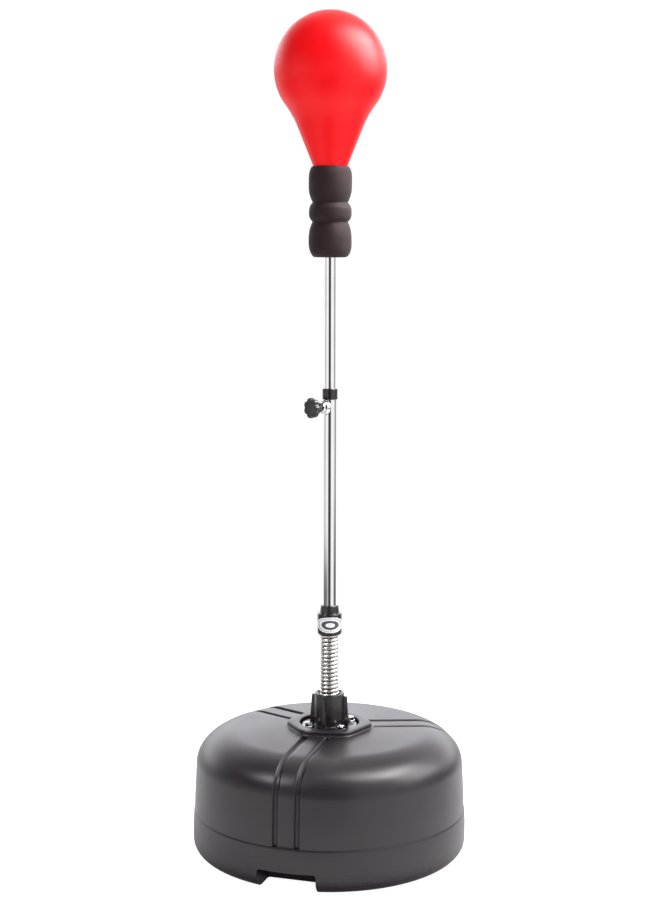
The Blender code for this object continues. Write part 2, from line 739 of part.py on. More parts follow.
def make_tubes(bright, plastic, clamp_frame):
    """The two tubes, the collar at the lower one's mouth and the plug in the upper one's end."""
    lower = sleeve(LOWER_TUBE_RADIUS, LOWER_TUBE_BORE, tube_seat(), LOWER_TUBE_TOP)
    tube = turned("lower_tube", lower, bright, ring=True)
    hole = rod(CLAMP_HOLE_RADIUS, LOWER_TUBE_BORE / 2, LOWER_TUBE_RADIUS + BOSS_INNER)
    boolean(tube, turned_cutter("clamp_hole", hole, SMALL_STEPS, clamp_frame), "DIFFERENCE")
    seat = LOWER_TUBE_TOP + GAP
    collar = [
        (TUBE_COLLAR_RADIUS - TUBE_COLLAR_EDGE, TUBE_COLLAR_TOP),
        (TUBE_COLLAR_RADIUS, TUBE_COLLAR_TOP - TUBE_COLLAR_EDGE),
        (TUBE_COLLAR_RADIUS, TUBE_COLLAR_BOTTOM + TUBE_COLLAR_EDGE),
        (TUBE_COLLAR_RADIUS - TUBE_COLLAR_EDGE, TUBE_COLLAR_BOTTOM),
        (LOWER_TUBE_RADIUS + GAP, TUBE_COLLAR_BOTTOM),
        (LOWER_TUBE_RADIUS + GAP, seat),
        (LOWER_TUBE_BORE, seat),
        (LOWER_TUBE_BORE, TUBE_COLLAR_TOP),
    ]
    turned("tube_collar", collar, plastic, ring=True)
    upper = sleeve(UPPER_TUBE_RADIUS, UPPER_TUBE_BORE, UPPER_TUBE_BOTTOM, UPPER_TUBE_TOP)
    turned("upper_tube", upper, bright, ring=True)
    flange_top = UPPER_TUBE_BOTTOM - GAP
    plug = [
        (0, flange_top + END_PLUG_LENGTH),
        (END_PLUG_SPIGOT, flange_top + END_PLUG_LENGTH),
        (END_PLUG_SPIGOT, flange_top),
        (END_PLUG_RADIUS, flange_top),
        (END_PLUG_RADIUS, flange_top - END_PLUG_FLANGE),
        (0, flange_top - END_PLUG_FLANGE),
    ]
    turned("tube_end_plug", plug, plastic)


def knob_outline():
    """The knob's lobed outline."""
    points = []
    for index in range(KNOB_POINTS):
        angle = math.tau * index / KNOB_POINTS
        dip = KNOB_LOBE_DIP * (0.5 - 0.5 * math.cos(KNOB_LOBES * angle)) ** 2
        radius = KNOB_RADIUS - dip
        points.append((radius * math.cos(angle), radius * math.sin(angle)))
    return points


def make_clamp(bright, plastic, pad_material, frame):
    """The clamp's boss, stud, pad and lobed knob, along an axis square to the mast."""
    boss = turned(
        "clamp_boss",
        [
            (BOSS_RADIUS, BOSS_OUTER),
            (BOSS_RADIUS, BOSS_FLANGE_OUTER),
            (BOSS_FLANGE_RADIUS, BOSS_FLANGE_OUTER),
            (BOSS_FLANGE_RADIUS, BOSS_INNER),
            (CLAMP_HOLE_RADIUS, BOSS_INNER),
            (CLAMP_HOLE_RADIUS, BOSS_OUTER),
        ],
        bright, BODY_STEPS, frame, True,
    )
    saddle = rod(LOWER_TUBE_RADIUS + GAP, CLAMP_Z - BOSS_OUTER, CLAMP_Z + BOSS_OUTER)
    boolean(boss, turned_cutter("saddle", saddle), "DIFFERENCE")
    turned("clamp_pad", rod(PAD_RADIUS, PAD_INNER, PAD_OUTER), pad_material, SMALL_STEPS, frame)
    turned("clamp_stud", rod(M8_RADIUS, PAD_OUTER + GAP, STUD_OUTER), bright, SMALL_STEPS, frame)
    head = plate_mesh("clamp_knob", knob_outline(), KNOB_HEAD_INNER, KNOB_HEAD_OUTER)
    knob = add_part("clamp_knob", head, plastic, frame)
    bevel = knob.modifiers.new("edge", "BEVEL")
    bevel.width = KNOB_EDGE
    bevel.segments = 2
    bevel.limit_method = "ANGLE"
    bevel.angle_limit = math.radians(60)
    hub = cylinder_mesh("hub", KNOB_HUB_INNER_RADIUS, BOSS_OUTER + GAP, KNOB_HEAD_INNER + KNOB_EDGE,
                        BODY_STEPS, KNOB_HUB_OUTER_RADIUS)
    boolean(knob, add_cutter("hub", hub, frame), "UNION")
    bore = rod(CLAMP_HOLE_RADIUS, BOSS_OUTER - GAP, STUD_OUTER + GAP)
    boolean(knob, turned_cutter("stud_bore", bore, SMALL_STEPS, frame), "DIFFERENCE")


# Foam sleeve and ball -------------------------------------------------------------------------------


def cushion(peak, edge, power):
    """Points from a cushion's peak to one of its edges."""
    points = []
    for index in range(FOAM_STEPS + 1):
        share = index / FOAM_STEPS
        swell = (1 - share**3) ** power
        points.append((edge[0] + (peak[0] - edge[0]) * swell, peak[1] + (edge[1] - peak[1]) * share))
    return points


def make_foam(material):
    """The foam sleeve, and the cup in its top that hides the ball's neck."""
    edges = [(FOAM_BOTTOM_RADIUS, FOAM_BOTTOM)]
    edges += [(FOAM_WAIST_RADIUS, height) for height in FOAM_WAISTS]
    edges.append((FOAM_TOP_RADIUS, FOAM_TOP))
    last = len(FOAM_PEAKS) - 1
    outline = []
    for number in range(last, -1, -1):
        peak = FOAM_PEAKS[number]
        rising = cushion(peak, edges[number + 1], FOAM_BLUNT if number == last else FOAM_SOFT)
        falling = cushion(peak, edges[number], FOAM_BLUNT if number == 0 else FOAM_SOFT)
        outline += rising[:0:-1] + falling[:-1]
    outline += [(FOAM_BOTTOM_RADIUS, FOAM_BOTTOM), (FOAM_BORE, FOAM_BOTTOM), (FOAM_BORE, FOAM_CUP_BOTTOM)]
    mouth_radius, mouth_start = FOAM_CUP_MOUTH
    outline += [(FOAM_CUP_RADIUS, FOAM_CUP_BOTTOM), (FOAM_CUP_RADIUS, mouth_start)]
    outline.append((mouth_radius, FOAM_TOP))
    turned("foam_sleeve", outline, material, ring=True)


def ball_skin(depth, first_radius, round_steps, curve_steps):
    """The ball from its valve hole down to its neck, this far under the surface."""
    radius = BALL_RADIUS - depth
    first = math.acos(first_radius / radius)
    points = []
    for index in range(round_steps + 1):
        angle = first + (BALL_LEAVES_ROUND - first) * index / round_steps
        rise = (BALL_UP if angle > 0 else BALL_DOWN) - depth
        points.append((radius * math.cos(angle), BALL_CENTRE_Z + rise * math.sin(angle)))
    tangent = Vector((radius * math.sin(BALL_LEAVES_ROUND), -rise * math.cos(BALL_LEAVES_ROUND)))
    tangent.normalize()
    cone_top = Vector(CONE_TOP) - Vector((depth, 0))
    cone_bottom = Vector(CONE_BOTTOM) - Vector((depth, 0))
    throat = Vector(THROAT) - Vector((depth, 0))
    down_cone = (cone_bottom - cone_top).normalized()
    leave = Vector(points[-1])
    pull = (cone_top - leave).length / 3
    points += bezier(leave, leave + tangent * pull, cone_top - down_cone * pull, cone_top, curve_steps)
    points.append(tuple(cone_bottom))
    pull = (throat - cone_bottom).length / 2
    inward = Vector((-1, -1)).normalized()
    points += bezier(cone_bottom, cone_bottom + down_cone * pull, throat - inward * pull, throat, 3)
    points.append((NECK_RADIUS - depth, NECK_TOP_Z))
    points.append((NECK_RADIUS - depth, NECK_BOTTOM_Z))
    return points


def make_ball(ball_material, valve_material, mount_material, clamp_material):
    """The hollow ball, its valve, the mount inside its neck and the band round it."""
    outer = ball_skin(0, VALVE_HOLE_RADIUS, 10, 3)
    inner = ball_skin(BALL_WALL, VALVE_HOLE_RADIUS, 6, 2)
    turned("ball", outer + inner[::-1], ball_material, BALL_STEPS, ring=True)
    top = outer[0][1]
    under = top - BALL_WALL - 3 * GAP
    valve = [
        (VALVE_NEEDLE_RADIUS, top),
        (VALVE_RADIUS, top),
        (VALVE_RADIUS, under),
        (VALVE_FLANGE_RADIUS, under - GAP),
        (VALVE_FLANGE_RADIUS, under - GAP - VALVE_FLANGE),
        (VALVE_RADIUS, under - GAP - VALVE_FLANGE),
        (VALVE_RADIUS, top - VALVE_DEPTH),
        (VALVE_NEEDLE_RADIUS, top - VALVE_DEPTH),
    ]
    turned("ball_valve", valve, valve_material, SMALL_STEPS, ring=True)
    socket_top = UPPER_TUBE_TOP + GAP
    mount = [
        (0, MOUNT_TOP),
        (MOUNT_RADIUS - END_PLUG_FLANGE, MOUNT_TOP),
        (MOUNT_RADIUS, MOUNT_TOP - END_PLUG_FLANGE),
        (MOUNT_RADIUS, MOUNT_BOTTOM),
        (UPPER_TUBE_RADIUS + GAP, MOUNT_BOTTOM),
        (UPPER_TUBE_RADIUS + GAP, socket_top),
        (0, socket_top),
    ]
    turned("ball_mount", mount, mount_material)
    band_inner = NECK_RADIUS + GAP
    band = sleeve(band_inner + NECK_CLAMP_THICKNESS, band_inner, NECK_CLAMP_BOTTOM, NECK_CLAMP_TOP)
    turned("neck_clamp", band, clamp_material, ring=True)


def main():
    start_scene()
    black_shell = make_material("moulded_black", (0.045, 0.044, 0.046), 0.42, 0)
    gloss_black = make_material("gloss_black", (0.02, 0.019, 0.02), 0.18, 0)
    chrome = make_material("chrome", (0.82, 0.82, 0.83), 0.06, 1)
    spring_steel = make_material("bright_spring_steel", (0.72, 0.71, 0.70), 0.16, 1)
    plain_steel = make_material("plain_steel", (0.48, 0.48, 0.49), 0.35, 1)
    brass = make_material("brass", (0.72, 0.55, 0.25), 0.3, 1)
    white = make_material("badge_white", (0.84, 0.84, 0.86), 0.25, 0)
    nylon = make_material("natural_nylon", (0.72, 0.70, 0.64), 0.45, 0)
    rubber = make_material("black_rubber", (0.025, 0.025, 0.025), 0.7, 0)
    foam = make_material("foam", (0.038, 0.035, 0.034), 0.85, 0)
    red = make_material("ball_red", (0.55, 0.012, 0.02), 0.35, 0)

    bolt_frames = on_circle(BOLTS, BOLT_CIRCLE, PAD_Z, math.pi / BOLTS)
    port_frame = outward(PORT_TURN, PORT_Z)
    clamp_frame = outward(CLAMP_TURN, CLAMP_Z)

    make_base(black_shell, bolt_frames, port_frame)
    make_filler(gloss_black, rubber, port_frame)
    make_socket(gloss_black, bolt_frames)
    make_socket_fasteners(chrome, brass, bolt_frames)
    make_spring(spring_steel)
    make_plugs(plain_steel)
    make_coupler(gloss_black, plain_steel, white)
    make_tubes(chrome, gloss_black, clamp_frame)
    make_clamp(chrome, gloss_black, nylon, clamp_frame)
    make_foam(foam)
    make_ball(red, rubber, nylon, plain_steel)


main()
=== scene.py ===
"""The looks of a free-standing punch ball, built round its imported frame. Metres, +Z up, floor at zero."""

import math

import bmesh
import bpy
import numpy as np
from mathutils import Matrix, Vector


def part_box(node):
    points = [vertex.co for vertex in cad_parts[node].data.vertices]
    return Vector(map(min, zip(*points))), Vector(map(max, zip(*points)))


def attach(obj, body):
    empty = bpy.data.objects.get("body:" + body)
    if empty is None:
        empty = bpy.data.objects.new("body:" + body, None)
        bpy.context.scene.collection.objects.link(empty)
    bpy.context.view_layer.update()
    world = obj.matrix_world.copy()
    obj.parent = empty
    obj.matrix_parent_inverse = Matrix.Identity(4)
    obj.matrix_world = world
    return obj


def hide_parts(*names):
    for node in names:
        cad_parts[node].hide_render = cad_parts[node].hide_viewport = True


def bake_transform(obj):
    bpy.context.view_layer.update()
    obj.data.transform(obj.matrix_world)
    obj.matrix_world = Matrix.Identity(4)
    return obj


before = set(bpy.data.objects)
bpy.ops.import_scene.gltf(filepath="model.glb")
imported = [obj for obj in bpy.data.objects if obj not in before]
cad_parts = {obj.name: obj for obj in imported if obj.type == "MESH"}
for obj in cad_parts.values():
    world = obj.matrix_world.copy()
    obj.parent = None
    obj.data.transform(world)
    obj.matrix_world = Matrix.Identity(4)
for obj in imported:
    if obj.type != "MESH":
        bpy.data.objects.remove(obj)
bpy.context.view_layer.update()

VIEW_TURN = math.radians(17.8)  # the camera stands this far round from the front band, towards +X


def low(node):
    """The lowest corner of a CAD node."""
    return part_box(node)[0]


def high(node):
    """The highest corner of a CAD node."""
    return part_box(node)[1]


# Mesh tools -----------------------------------------------------------------------------------------

SHARP = math.radians(40)  # edges sharper than this stay sharp

def smoothstep(value):
    """0 below 0, 1 above 1, and an even rise between."""
    t = np.clip(value, 0.0, 1.0)
    return t * t * (3 - 2 * t)


def outward(turn, height):
    """A frame on the mast's axis whose Z points out at this turn from the front, towards +X."""
    direction = Vector((math.sin(turn), -math.cos(turn), 0))
    return Matrix.Translation((0, 0, height)) @ direction.to_track_quat("Z", "Y").to_matrix().to_4x4()


def rounded(corners, steps=4):
    """An open outline of (radius, height, fillet) corners, with each fillet turned into an arc."""
    points = []
    last = len(corners) - 1
    for index, (radius, height, fillet) in enumerate(corners):
        here = Vector((radius, height))
        if fillet <= 0 or index in (0, last):
            points.append(here)
            continue
        before = (Vector(corners[index - 1][:2]) - here).normalized()
        after = (Vector(corners[index + 1][:2]) - here).normalized()
        half = before.angle(after) / 2
        reach = fillet / math.tan(half)
        centre = here + (before + after).normalized() * (fillet / math.sin(half))
        start = here + before * reach - centre
        end = here + after * reach - centre
        sweep = start.angle_signed(end)
        for step in range(steps + 1):
            turned = start.copy()
            turned.rotate(Matrix.Rotation(-sweep * step / steps, 2))
            points.append(centre + turned)
    return [(p[0], p[1]) for p in points]


def smooth(mesh, sharp):
    """Shades a mesh smooth, except where two faces meet at more than the sharp angle."""
    mesh.shade_smooth()
    mesh.set_sharp_from_angle(angle=sharp)


def place_mesh(name, mesh):
    """A mesh's object, in the scene."""
    made = bpy.data.objects.new(name, mesh)
    bpy.context.scene.collection.objects.link(made)
    return made


def link_mesh(name, vertices, faces, matrix=None, sharp=SHARP):
    """A smooth-shaded object with outward faces."""
    mesh = bpy.data.meshes.new(name)
    mesh.from_pydata([tuple(v) for v in vertices], [], faces)
    bm = bmesh.new()
    bm.from_mesh(mesh)
    bmesh.ops.recalc_face_normals(bm, faces=bm.faces)
    bm.to_mesh(mesh)
    bm.free()
    if matrix is not None:
        mesh.transform(matrix)
    smooth(mesh, sharp)
    return place_mesh(name, mesh)


def skin(name, rings, matrix=None, loop=False, sharp=SHARP):
    """A closed body through rings of points. A ring of one point is a pole; a loop joins last to first."""
    vertices = []
    starts = []
    for ring in rings:
        starts.append(len(vertices))
        vertices.extend(ring)
    pairs = list(zip(range(len(rings) - 1), range(1, len(rings))))
    if loop:
        pairs.append((len(rings) - 1, 0))
    faces = []
    for a, b in pairs:
        count_a = len(rings[a])
        count_b = len(rings[b])
        count = max(count_a, count_b)
        for index in range(count):
            after = (index + 1) % count
            face = [starts[a] + index % count_a, starts[a] + after % count_a]
            face += [starts[b] + after % count_b, starts[b] + index % count_b]
            faces.append(list(dict.fromkeys(face)))
    return link_mesh(name, vertices, faces, matrix, sharp)


def circle(radius, height, steps):
    """One ring of a turned body, or its pole."""
    if radius < 1e-7:
        return [(0, 0, height)]
    turns = np.linspace(0, math.tau, steps, endpoint=False)
    return [(radius * math.cos(t), radius * math.sin(t), height) for t in turns]


def lathe(name, outline, steps=96, matrix=None, loop=False, sharp=SHARP):
    """A turned body from (radius, height) points."""
    return skin(name, [circle(r, z, steps) for r, z in outline], matrix, loop, sharp)


def shape_by(piece, tool, operation):
    """Cuts, joins or intersects a piece with a tool, which is then removed."""
    modifier = piece.modifiers.new("shape", "BOOLEAN")
    modifier.operation = operation
    modifier.object = tool
    modifier.solver = "EXACT"
    freeze(piece)
    bpy.data.objects.remove(tool)


def block(name, corner, rounded_edge, fillet, segments, matrix, profile=0.5):
    """A cube with its corners moved and some of its edges rounded, to cut or join another piece with."""
    bm = bmesh.new()
    bmesh.ops.create_cube(bm, size=1)
    for vertex in bm.verts:
        vertex.co = corner(*vertex.co)
    edges = [edge for edge in bm.edges if rounded_edge(*(vertex.co for vertex in edge.verts))]
    bmesh.ops.bevel(bm, geom=edges, offset=fillet, segments=segments, affect="EDGES", profile=profile)
    mesh = bpy.data.meshes.new(name)
    bm.to_mesh(mesh)
    bm.free()
    mesh.transform(matrix)
    return place_mesh(name, mesh)


def plug(radius, bottom, top, steps=32, matrix=None):
    """A plain round bar along Z, to cut or join another piece with."""
    return lathe("plug", [(0, bottom), (radius, bottom), (radius, top), (0, top)], steps, matrix)


def freeze(piece):
    """Applies a piece's modifiers."""
    graph = bpy.context.evaluated_depsgraph_get()
    finished = bpy.data.meshes.new_from_object(piece.evaluated_get(graph))
    finished.name = piece.name
    piece.modifiers.clear()
    piece.data = finished


def even_shading(piece):
    """Keeps flat faces flat where they meet a fillet."""
    weighted = piece.modifiers.new("even_shading", "WEIGHTED_NORMAL")
    weighted.keep_sharp = True
    weighted.weight = 80


def dress(piece, material, body, *nodes, even=True):
    """Gives a piece its material, its body and the CAD nodes it stands for."""
    piece.data.materials.clear()
    piece.data.materials.append(material)
    if even:
        even_shading(piece)
    if body:
        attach(piece, body)
    if nodes:
        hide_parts(*nodes)
    return piece


# Materials ------------------------------------------------------------------------------------------


class Graph:
    """A material's or a world's node tree, with short names for the nodes used here."""

    def __init__(self, name, home=None):
        self.owner = (bpy.data.materials if home is None else home).new(name)
        self.owner.use_nodes = True
        self.tree = self.owner.node_tree
        self.shader = self.tree.nodes.get("Principled BSDF")
        self.coordinates = self.tree.nodes.new("ShaderNodeTexCoord")
        self.place = self.coordinates.outputs["Object"]

    def node(self, kind, **settings):
        made = self.tree.nodes.new(f"ShaderNode{kind}")
        for key, value in settings.items():
            setattr(made, key, value)
        return made

    def join(self, source, target):
        self.tree.links.new(source, target)

    def stretched(self, scale):
        mapping = self.node("Mapping")
        mapping.inputs["Scale"].default_value = scale
        self.join(self.place, mapping.inputs["Vector"])
        return mapping.outputs["Vector"]

    def noise(self, scale, detail=3.0, roughness=0.5, stretch=(1, 1, 1)):
        made = self.node("TexNoise")
        made.inputs["Scale"].default_value = scale
        made.inputs["Detail"].default_value = detail
        made.inputs["Roughness"].default_value = roughness
        self.join(self.stretched(stretch), made.inputs["Vector"])
        return made.outputs["Fac"]

    def cells(self, scale):
        made = self.node("TexVoronoi")
        made.inputs["Scale"].default_value = scale
        self.join(self.place, made.inputs["Vector"])
        return made.outputs["Distance"]

    def spread(self, source, start, end, out_start, out_end):
        made = self.node("MapRange")
        made.inputs["From Min"].default_value = start
        made.inputs["From Max"].default_value = end
        made.inputs["To Min"].default_value = out_start
        made.inputs["To Max"].default_value = out_end
        self.join(source, made.inputs["Value"])
        return made.outputs["Result"]

    def rise(self, source, start, end):
        """A smooth rise from 0 at the start to 1 at the end."""
        made = self.node("MapRange", interpolation_type="SMOOTHSTEP")
        made.inputs["From Min"].default_value = start
        made.inputs["From Max"].default_value = end
        self.join(source, made.inputs["Value"])
        return made.outputs["Result"]

    def band(self, source, middle, half, soft):
        """1 within half of the middle, with a smooth fall to 0 on each side."""
        distance = self.maths("ABSOLUTE", self.maths("SUBTRACT", source, middle), 0.0)
        return self.maths("SUBTRACT", 1.0, self.rise(distance, half - soft, half + soft))

    def mix(self, share, first, second):
        made = self.node("Mix", data_type="RGBA")
        self.join(share, made.inputs["Factor"])
        for socket, value in ((made.inputs["A"], first), (made.inputs["B"], second)):
            if isinstance(value, tuple):
                socket.default_value = (*value, 1)
            else:
                self.join(value, socket)
        return made.outputs["Result"]

    def maths(self, operation, first, second):
        made = self.node("Math", operation=operation)
        for socket, value in zip(made.inputs, (first, second)):
            if isinstance(value, (int, float)):
                socket.default_value = value
            else:
                self.join(value, socket)
        return made.outputs["Value"]

    def bump(self, height, distance, strength=1.0, below=None):
        made = self.node("Bump")
        made.inputs["Distance"].default_value = distance
        made.inputs["Strength"].default_value = strength
        self.join(height, made.inputs["Height"])
        if below is not None:
            self.join(below, made.inputs["Normal"])
        return made.outputs["Normal"]

    def colour(self, value):
        self.join(value, self.shader.inputs["Base Color"])

    def roughness(self, value):
        self.join(value, self.shader.inputs["Roughness"])

    def normal(self, value):
        self.join(value, self.shader.inputs["Normal"])

    def set(self, **settings):
        for key, value in settings.items():
            self.shader.inputs[key.replace("_", " ")].default_value = value


def plain_finish(name, cloud, tones, roughness, grain=None, depth=0.00003, strength=0.5, **settings):
    """A finish whose colour and roughness follow one noise pattern, with the grain as its relief."""
    g = Graph(name)
    share = g.noise(*cloud)
    relief = g.noise(*grain) if grain else share
    g.colour(g.mix(g.spread(share, 0.3, 0.7, 0, 1), *tones))
    g.roughness(g.spread(share, 0.3, 0.7, *roughness))
    g.normal(g.bump(relief, depth, strength))
    g.set(**settings)
    return g.owner


def moulded_shell():
    """Satin blow-moulded polyethylene: fine texture, faint flow marks, scuffs low down, and painted shade
    in the hollows.
    """
    g = Graph("moulded_shell")
    blotch = g.noise(9, 4)
    grain = g.noise(1500, 2)
    base = g.mix(g.spread(blotch, 0.35, 0.65, 0, 1), (0.0125, 0.0080, 0.0110), (0.0170, 0.0118, 0.0150))
    height = g.node("SeparateXYZ")
    g.join(g.place, height.inputs["Vector"])
    near_floor = g.spread(height.outputs["Z"], 0.0, 0.05, 1, 0)
    scratches = g.noise(160, 3, 0.6, (1, 1, 7))
    scuffed = g.maths("MULTIPLY", near_floor, g.spread(scratches, 0.55, 0.75, 0, 0.5))
    g.colour(g.mix(scuffed, base, (0.10, 0.097, 0.10)))
    g.roughness(g.maths("ADD", g.spread(blotch, 0.3, 0.7, 0.31, 0.38), g.maths("MULTIPLY", scuffed, 0.25)))
    waves = g.bump(g.noise(22, 2), 0.0004, 0.5)
    g.normal(g.bump(grain, 0.00006, 0.7, waves))
    # painted shade: ambient occlusion cuts the reflection in the pockets and grooves, so the hollows read
    # darker
    hollow_shade = g.node("AmbientOcclusion", samples=8)
    hollow_shade.inputs["Distance"].default_value = 0.05
    g.join(g.spread(hollow_shade.outputs["AO"], 0.45, 0.9, 0.04, 0.5), g.shader.inputs["Specular IOR Level"])
    g.set(IOR=1.52)
    return g.owner


def gloss_black(name, roughness=0.16):
    """Gloss moulded nylon with faint sink marks."""
    g = Graph(name)
    blotch = g.noise(60, 3)
    g.colour(g.mix(g.spread(blotch, 0.35, 0.65, 0, 1), (0.012, 0.010, 0.011), (0.022, 0.019, 0.020)))
    g.roughness(g.spread(g.noise(240, 4), 0.3, 0.7, roughness, roughness + 0.10))
    waves = g.bump(g.noise(130, 2), 0.0003, 0.45)
    g.normal(g.bump(g.noise(2600, 2), 0.00002, 0.5, waves))
    g.set(IOR=1.53)
    return g.owner


def chrome():
    """Polished chrome plate over a drawn tube: fine draw lines along Z."""
    g = Graph("chrome")
    lines = g.noise(1800, 2, 0.5, (1, 1, 0.01))
    smears = g.noise(30, 4)
    g.colour(g.mix(g.spread(smears, 0.3, 0.7, 0, 1), (0.86, 0.86, 0.87), (0.92, 0.92, 0.92)))
    g.roughness(g.spread(smears, 0.3, 0.7, 0.045, 0.085))
    g.normal(g.bump(lines, 0.000006, 0.6))
    g.set(Metallic=1.0)
    return g.owner


def bright_zinc():
    """Bright plated steel of bolts and washers."""
    g = Graph("bright_zinc")
    spots = g.noise(420, 4)
    g.colour(g.mix(g.spread(spots, 0.35, 0.65, 0, 1), (0.74, 0.74, 0.73), (0.90, 0.90, 0.89)))
    g.roughness(g.spread(spots, 0.3, 0.7, 0.10, 0.22))
    g.normal(g.bump(g.noise(900, 3), 0.00004, 0.5))
    g.set(Metallic=1.0)
    return g.owner


def spring_steel():
    """Bright plated spring wire, with faint draw marks and painted shade on the wire between the coils."""
    g = Graph("spring_steel")
    marks = g.noise(700, 3, 0.6, (1, 1, 6))
    # painted shade: ambient occlusion mixes the wire towards a dark grey where the coils sit close together
    shade = g.node("AmbientOcclusion", samples=8)
    shade.inputs["Distance"].default_value = 0.0035
    unshaded_share = g.spread(shade.outputs["AO"], 0.25, 0.85, 0, 1)
    metal = g.mix(g.spread(marks, 0.3, 0.7, 0, 1), (0.68, 0.665, 0.64), (0.80, 0.785, 0.76))
    g.colour(g.mix(unshaded_share, (0.34, 0.31, 0.28), metal))
    g.roughness(g.spread(marks, 0.3, 0.7, 0.24, 0.34))
    g.normal(g.bump(marks, 0.00002, 0.5))
    g.set(Metallic=1.0)
    return g.owner


def turned_steel():
    """Plain turned steel of the hidden plugs and screws, with turning rings."""
    return plain_finish("plain_steel", (300, 2, 0.5, (0.05, 0.05, 12)),
                        ((0.42, 0.42, 0.43), (0.56, 0.56, 0.57)), (0.28, 0.42), Metallic=1.0)


def brass():
    """Machined brass inserts."""
    return plain_finish("brass", (500, 3), ((0.55, 0.40, 0.17), (0.78, 0.60, 0.30)), (0.22, 0.38),
                        Metallic=1.0)


def nylon():
    """Natural nylon, slightly translucent."""
    return plain_finish("nylon", (120, 3), ((0.66, 0.63, 0.56), (0.76, 0.74, 0.68)), (0.38, 0.5),
                        (1500, 2), 0.00004, Subsurface_Weight=0.1)


def rubber():
    """Matt black rubber."""
    return plain_finish("black_rubber", (150, 3), ((0.018, 0.018, 0.018), (0.034, 0.033, 0.032)),
                        (0.6, 0.78), (2200, 2), 0.00006, 0.6)


def foam():
    """Closed-cell foam: a matt charcoal skin of small pores with a faint sheen."""
    g = Graph("foam")
    pores = g.cells(1250)
    soft = g.noise(45, 4)
    cell = g.spread(pores, 0.0, 0.55, 0, 1)
    tone = g.mix(g.spread(soft, 0.3, 0.7, 0, 1), (0.0125, 0.0042, 0.0052), (0.0185, 0.0080, 0.0090))
    g.colour(g.mix(cell, tone, (0.024, 0.012, 0.0135)))
    g.roughness(g.spread(soft, 0.3, 0.7, 0.62, 0.78))
    dents = g.bump(g.noise(150, 3), 0.0004, 0.6)
    g.normal(g.bump(pores, 0.00022, 0.7, dents))
    g.set(Sheen_Weight=0.05, Sheen_Roughness=0.5, Specular_IOR_Level=0.24)
    return g.owner


def ball_vinyl():
    """Satin red vinyl under pressure: a fine grain and faint stretch lines round it."""
    g = Graph("ball_vinyl")
    cloud = g.noise(14, 3)
    rounds = g.noise(26, 3, 0.5, (0.35, 0.35, 9))
    g.colour(g.mix(g.spread(cloud, 0.3, 0.7, 0, 1), (0.84, 0.0020, 0.0060), (0.92, 0.0035, 0.0080)))
    g.roughness(g.spread(rounds, 0.3, 0.7, 0.34, 0.41))
    waves = g.bump(rounds, 0.00012, 0.4)
    g.normal(g.bump(g.noise(1400, 3), 0.00005, 0.55, waves))
    g.set(Subsurface_Weight=0.05, IOR=1.45, Specular_IOR_Level=0.30)
    g.shader.inputs["Subsurface Radius"].default_value = (0.004, 0.001, 0.0008)
    return g.owner


def badge_face():
    """Plain white enamel."""
    return plain_finish("badge_white", (200, 3), ((0.80, 0.80, 0.82), (0.88, 0.88, 0.89)), (0.2, 0.28),
                        (1200, 2), 0.00002, 0.4)


def badge_line():
    """Dark grey enamel of the badge's plain line and ring."""
    return plain_finish("badge_grey", (300, 3), ((0.050, 0.048, 0.058), (0.085, 0.083, 0.095)),
                        (0.25, 0.35), (1200, 2), 0.00002, 0.4)


# Base -----------------------------------------------------------------------------------------------

BANDS = 3
BAND_TURN = math.tau / BANDS
STRIP_COLUMNS = (0.0, 0.005, 0.010)
STRIP_DEPTH = 0.0006
GROOVE_MIDDLE = 0.0183
GROOVE_REACH = 0.0054
GROOVE_WALL = 0.0033
GROOVE_DEPTH = 0.0040
COLLAR_APOTHEM = 0.0645
COLLAR_SIDES = 6
COLLAR_TURN = math.radians(12)
COLLAR_SHARPNESS = 12
RECESS_RADIUS = 0.0495
SHOULDER_CENTRE = (0.150, 0.150)
SHOULDER_REACH = (0.0728, 0.0550)
CROWN_FALL = 0.05
SEAM_Z = 0.0720
POCKET_HALF_WIDTH = 0.049
POCKET_BACK = 0.166
POCKET_HEIGHT = 0.034
POCKET_FILLET = 0.0045


def base_columns():
    """Offsets from a band's middle line of the mesh columns that follow its strip and groove."""
    groove = np.linspace(GROOVE_MIDDLE - GROOVE_REACH, GROOVE_MIDDLE + GROOVE_REACH, 19)
    return np.concatenate([STRIP_COLUMNS, groove, [groove[-1] + 0.0010]])


def column_turns(radius):
    """The turn of each mesh column on a ring of this radius. Columns near a band run parallel to it."""
    half = np.arcsin(base_columns() / max(radius, RECESS_RADIUS))
    rest = np.linspace(half[-1], BAND_TURN - half[-1], 26)[1:-1]
    one = np.concatenate([half, rest, (BAND_TURN - half)[:0:-1]])
    return np.concatenate([one + BAND_TURN * k for k in range(BANDS)])


def collar_bulge(turns):
    """How far the collar's soft hexagon stands out past its flats, at each turn."""
    flats = [COLLAR_TURN + k * math.tau / COLLAR_SIDES for k in range(COLLAR_SIDES)]
    total = sum(np.clip(np.cos(turns - flat), 0, 1) ** COLLAR_SHARPNESS for flat in flats)
    return COLLAR_APOTHEM / total ** (1 / COLLAR_SHARPNESS) - COLLAR_APOTHEM


def groove_depth(turns, radius):
    """How far each column lies under the surface where it crosses a band."""
    nearest = np.abs((turns + BAND_TURN / 2) % BAND_TURN - BAND_TURN / 2)
    offset = radius * np.sin(nearest) - GROOVE_MIDDLE
    share = smoothstep((GROOVE_REACH - np.abs(offset)) / GROOVE_WALL)
    return GROOVE_DEPTH * share + np.where(offset < 0, STRIP_DEPTH, 0) * (1 - share)


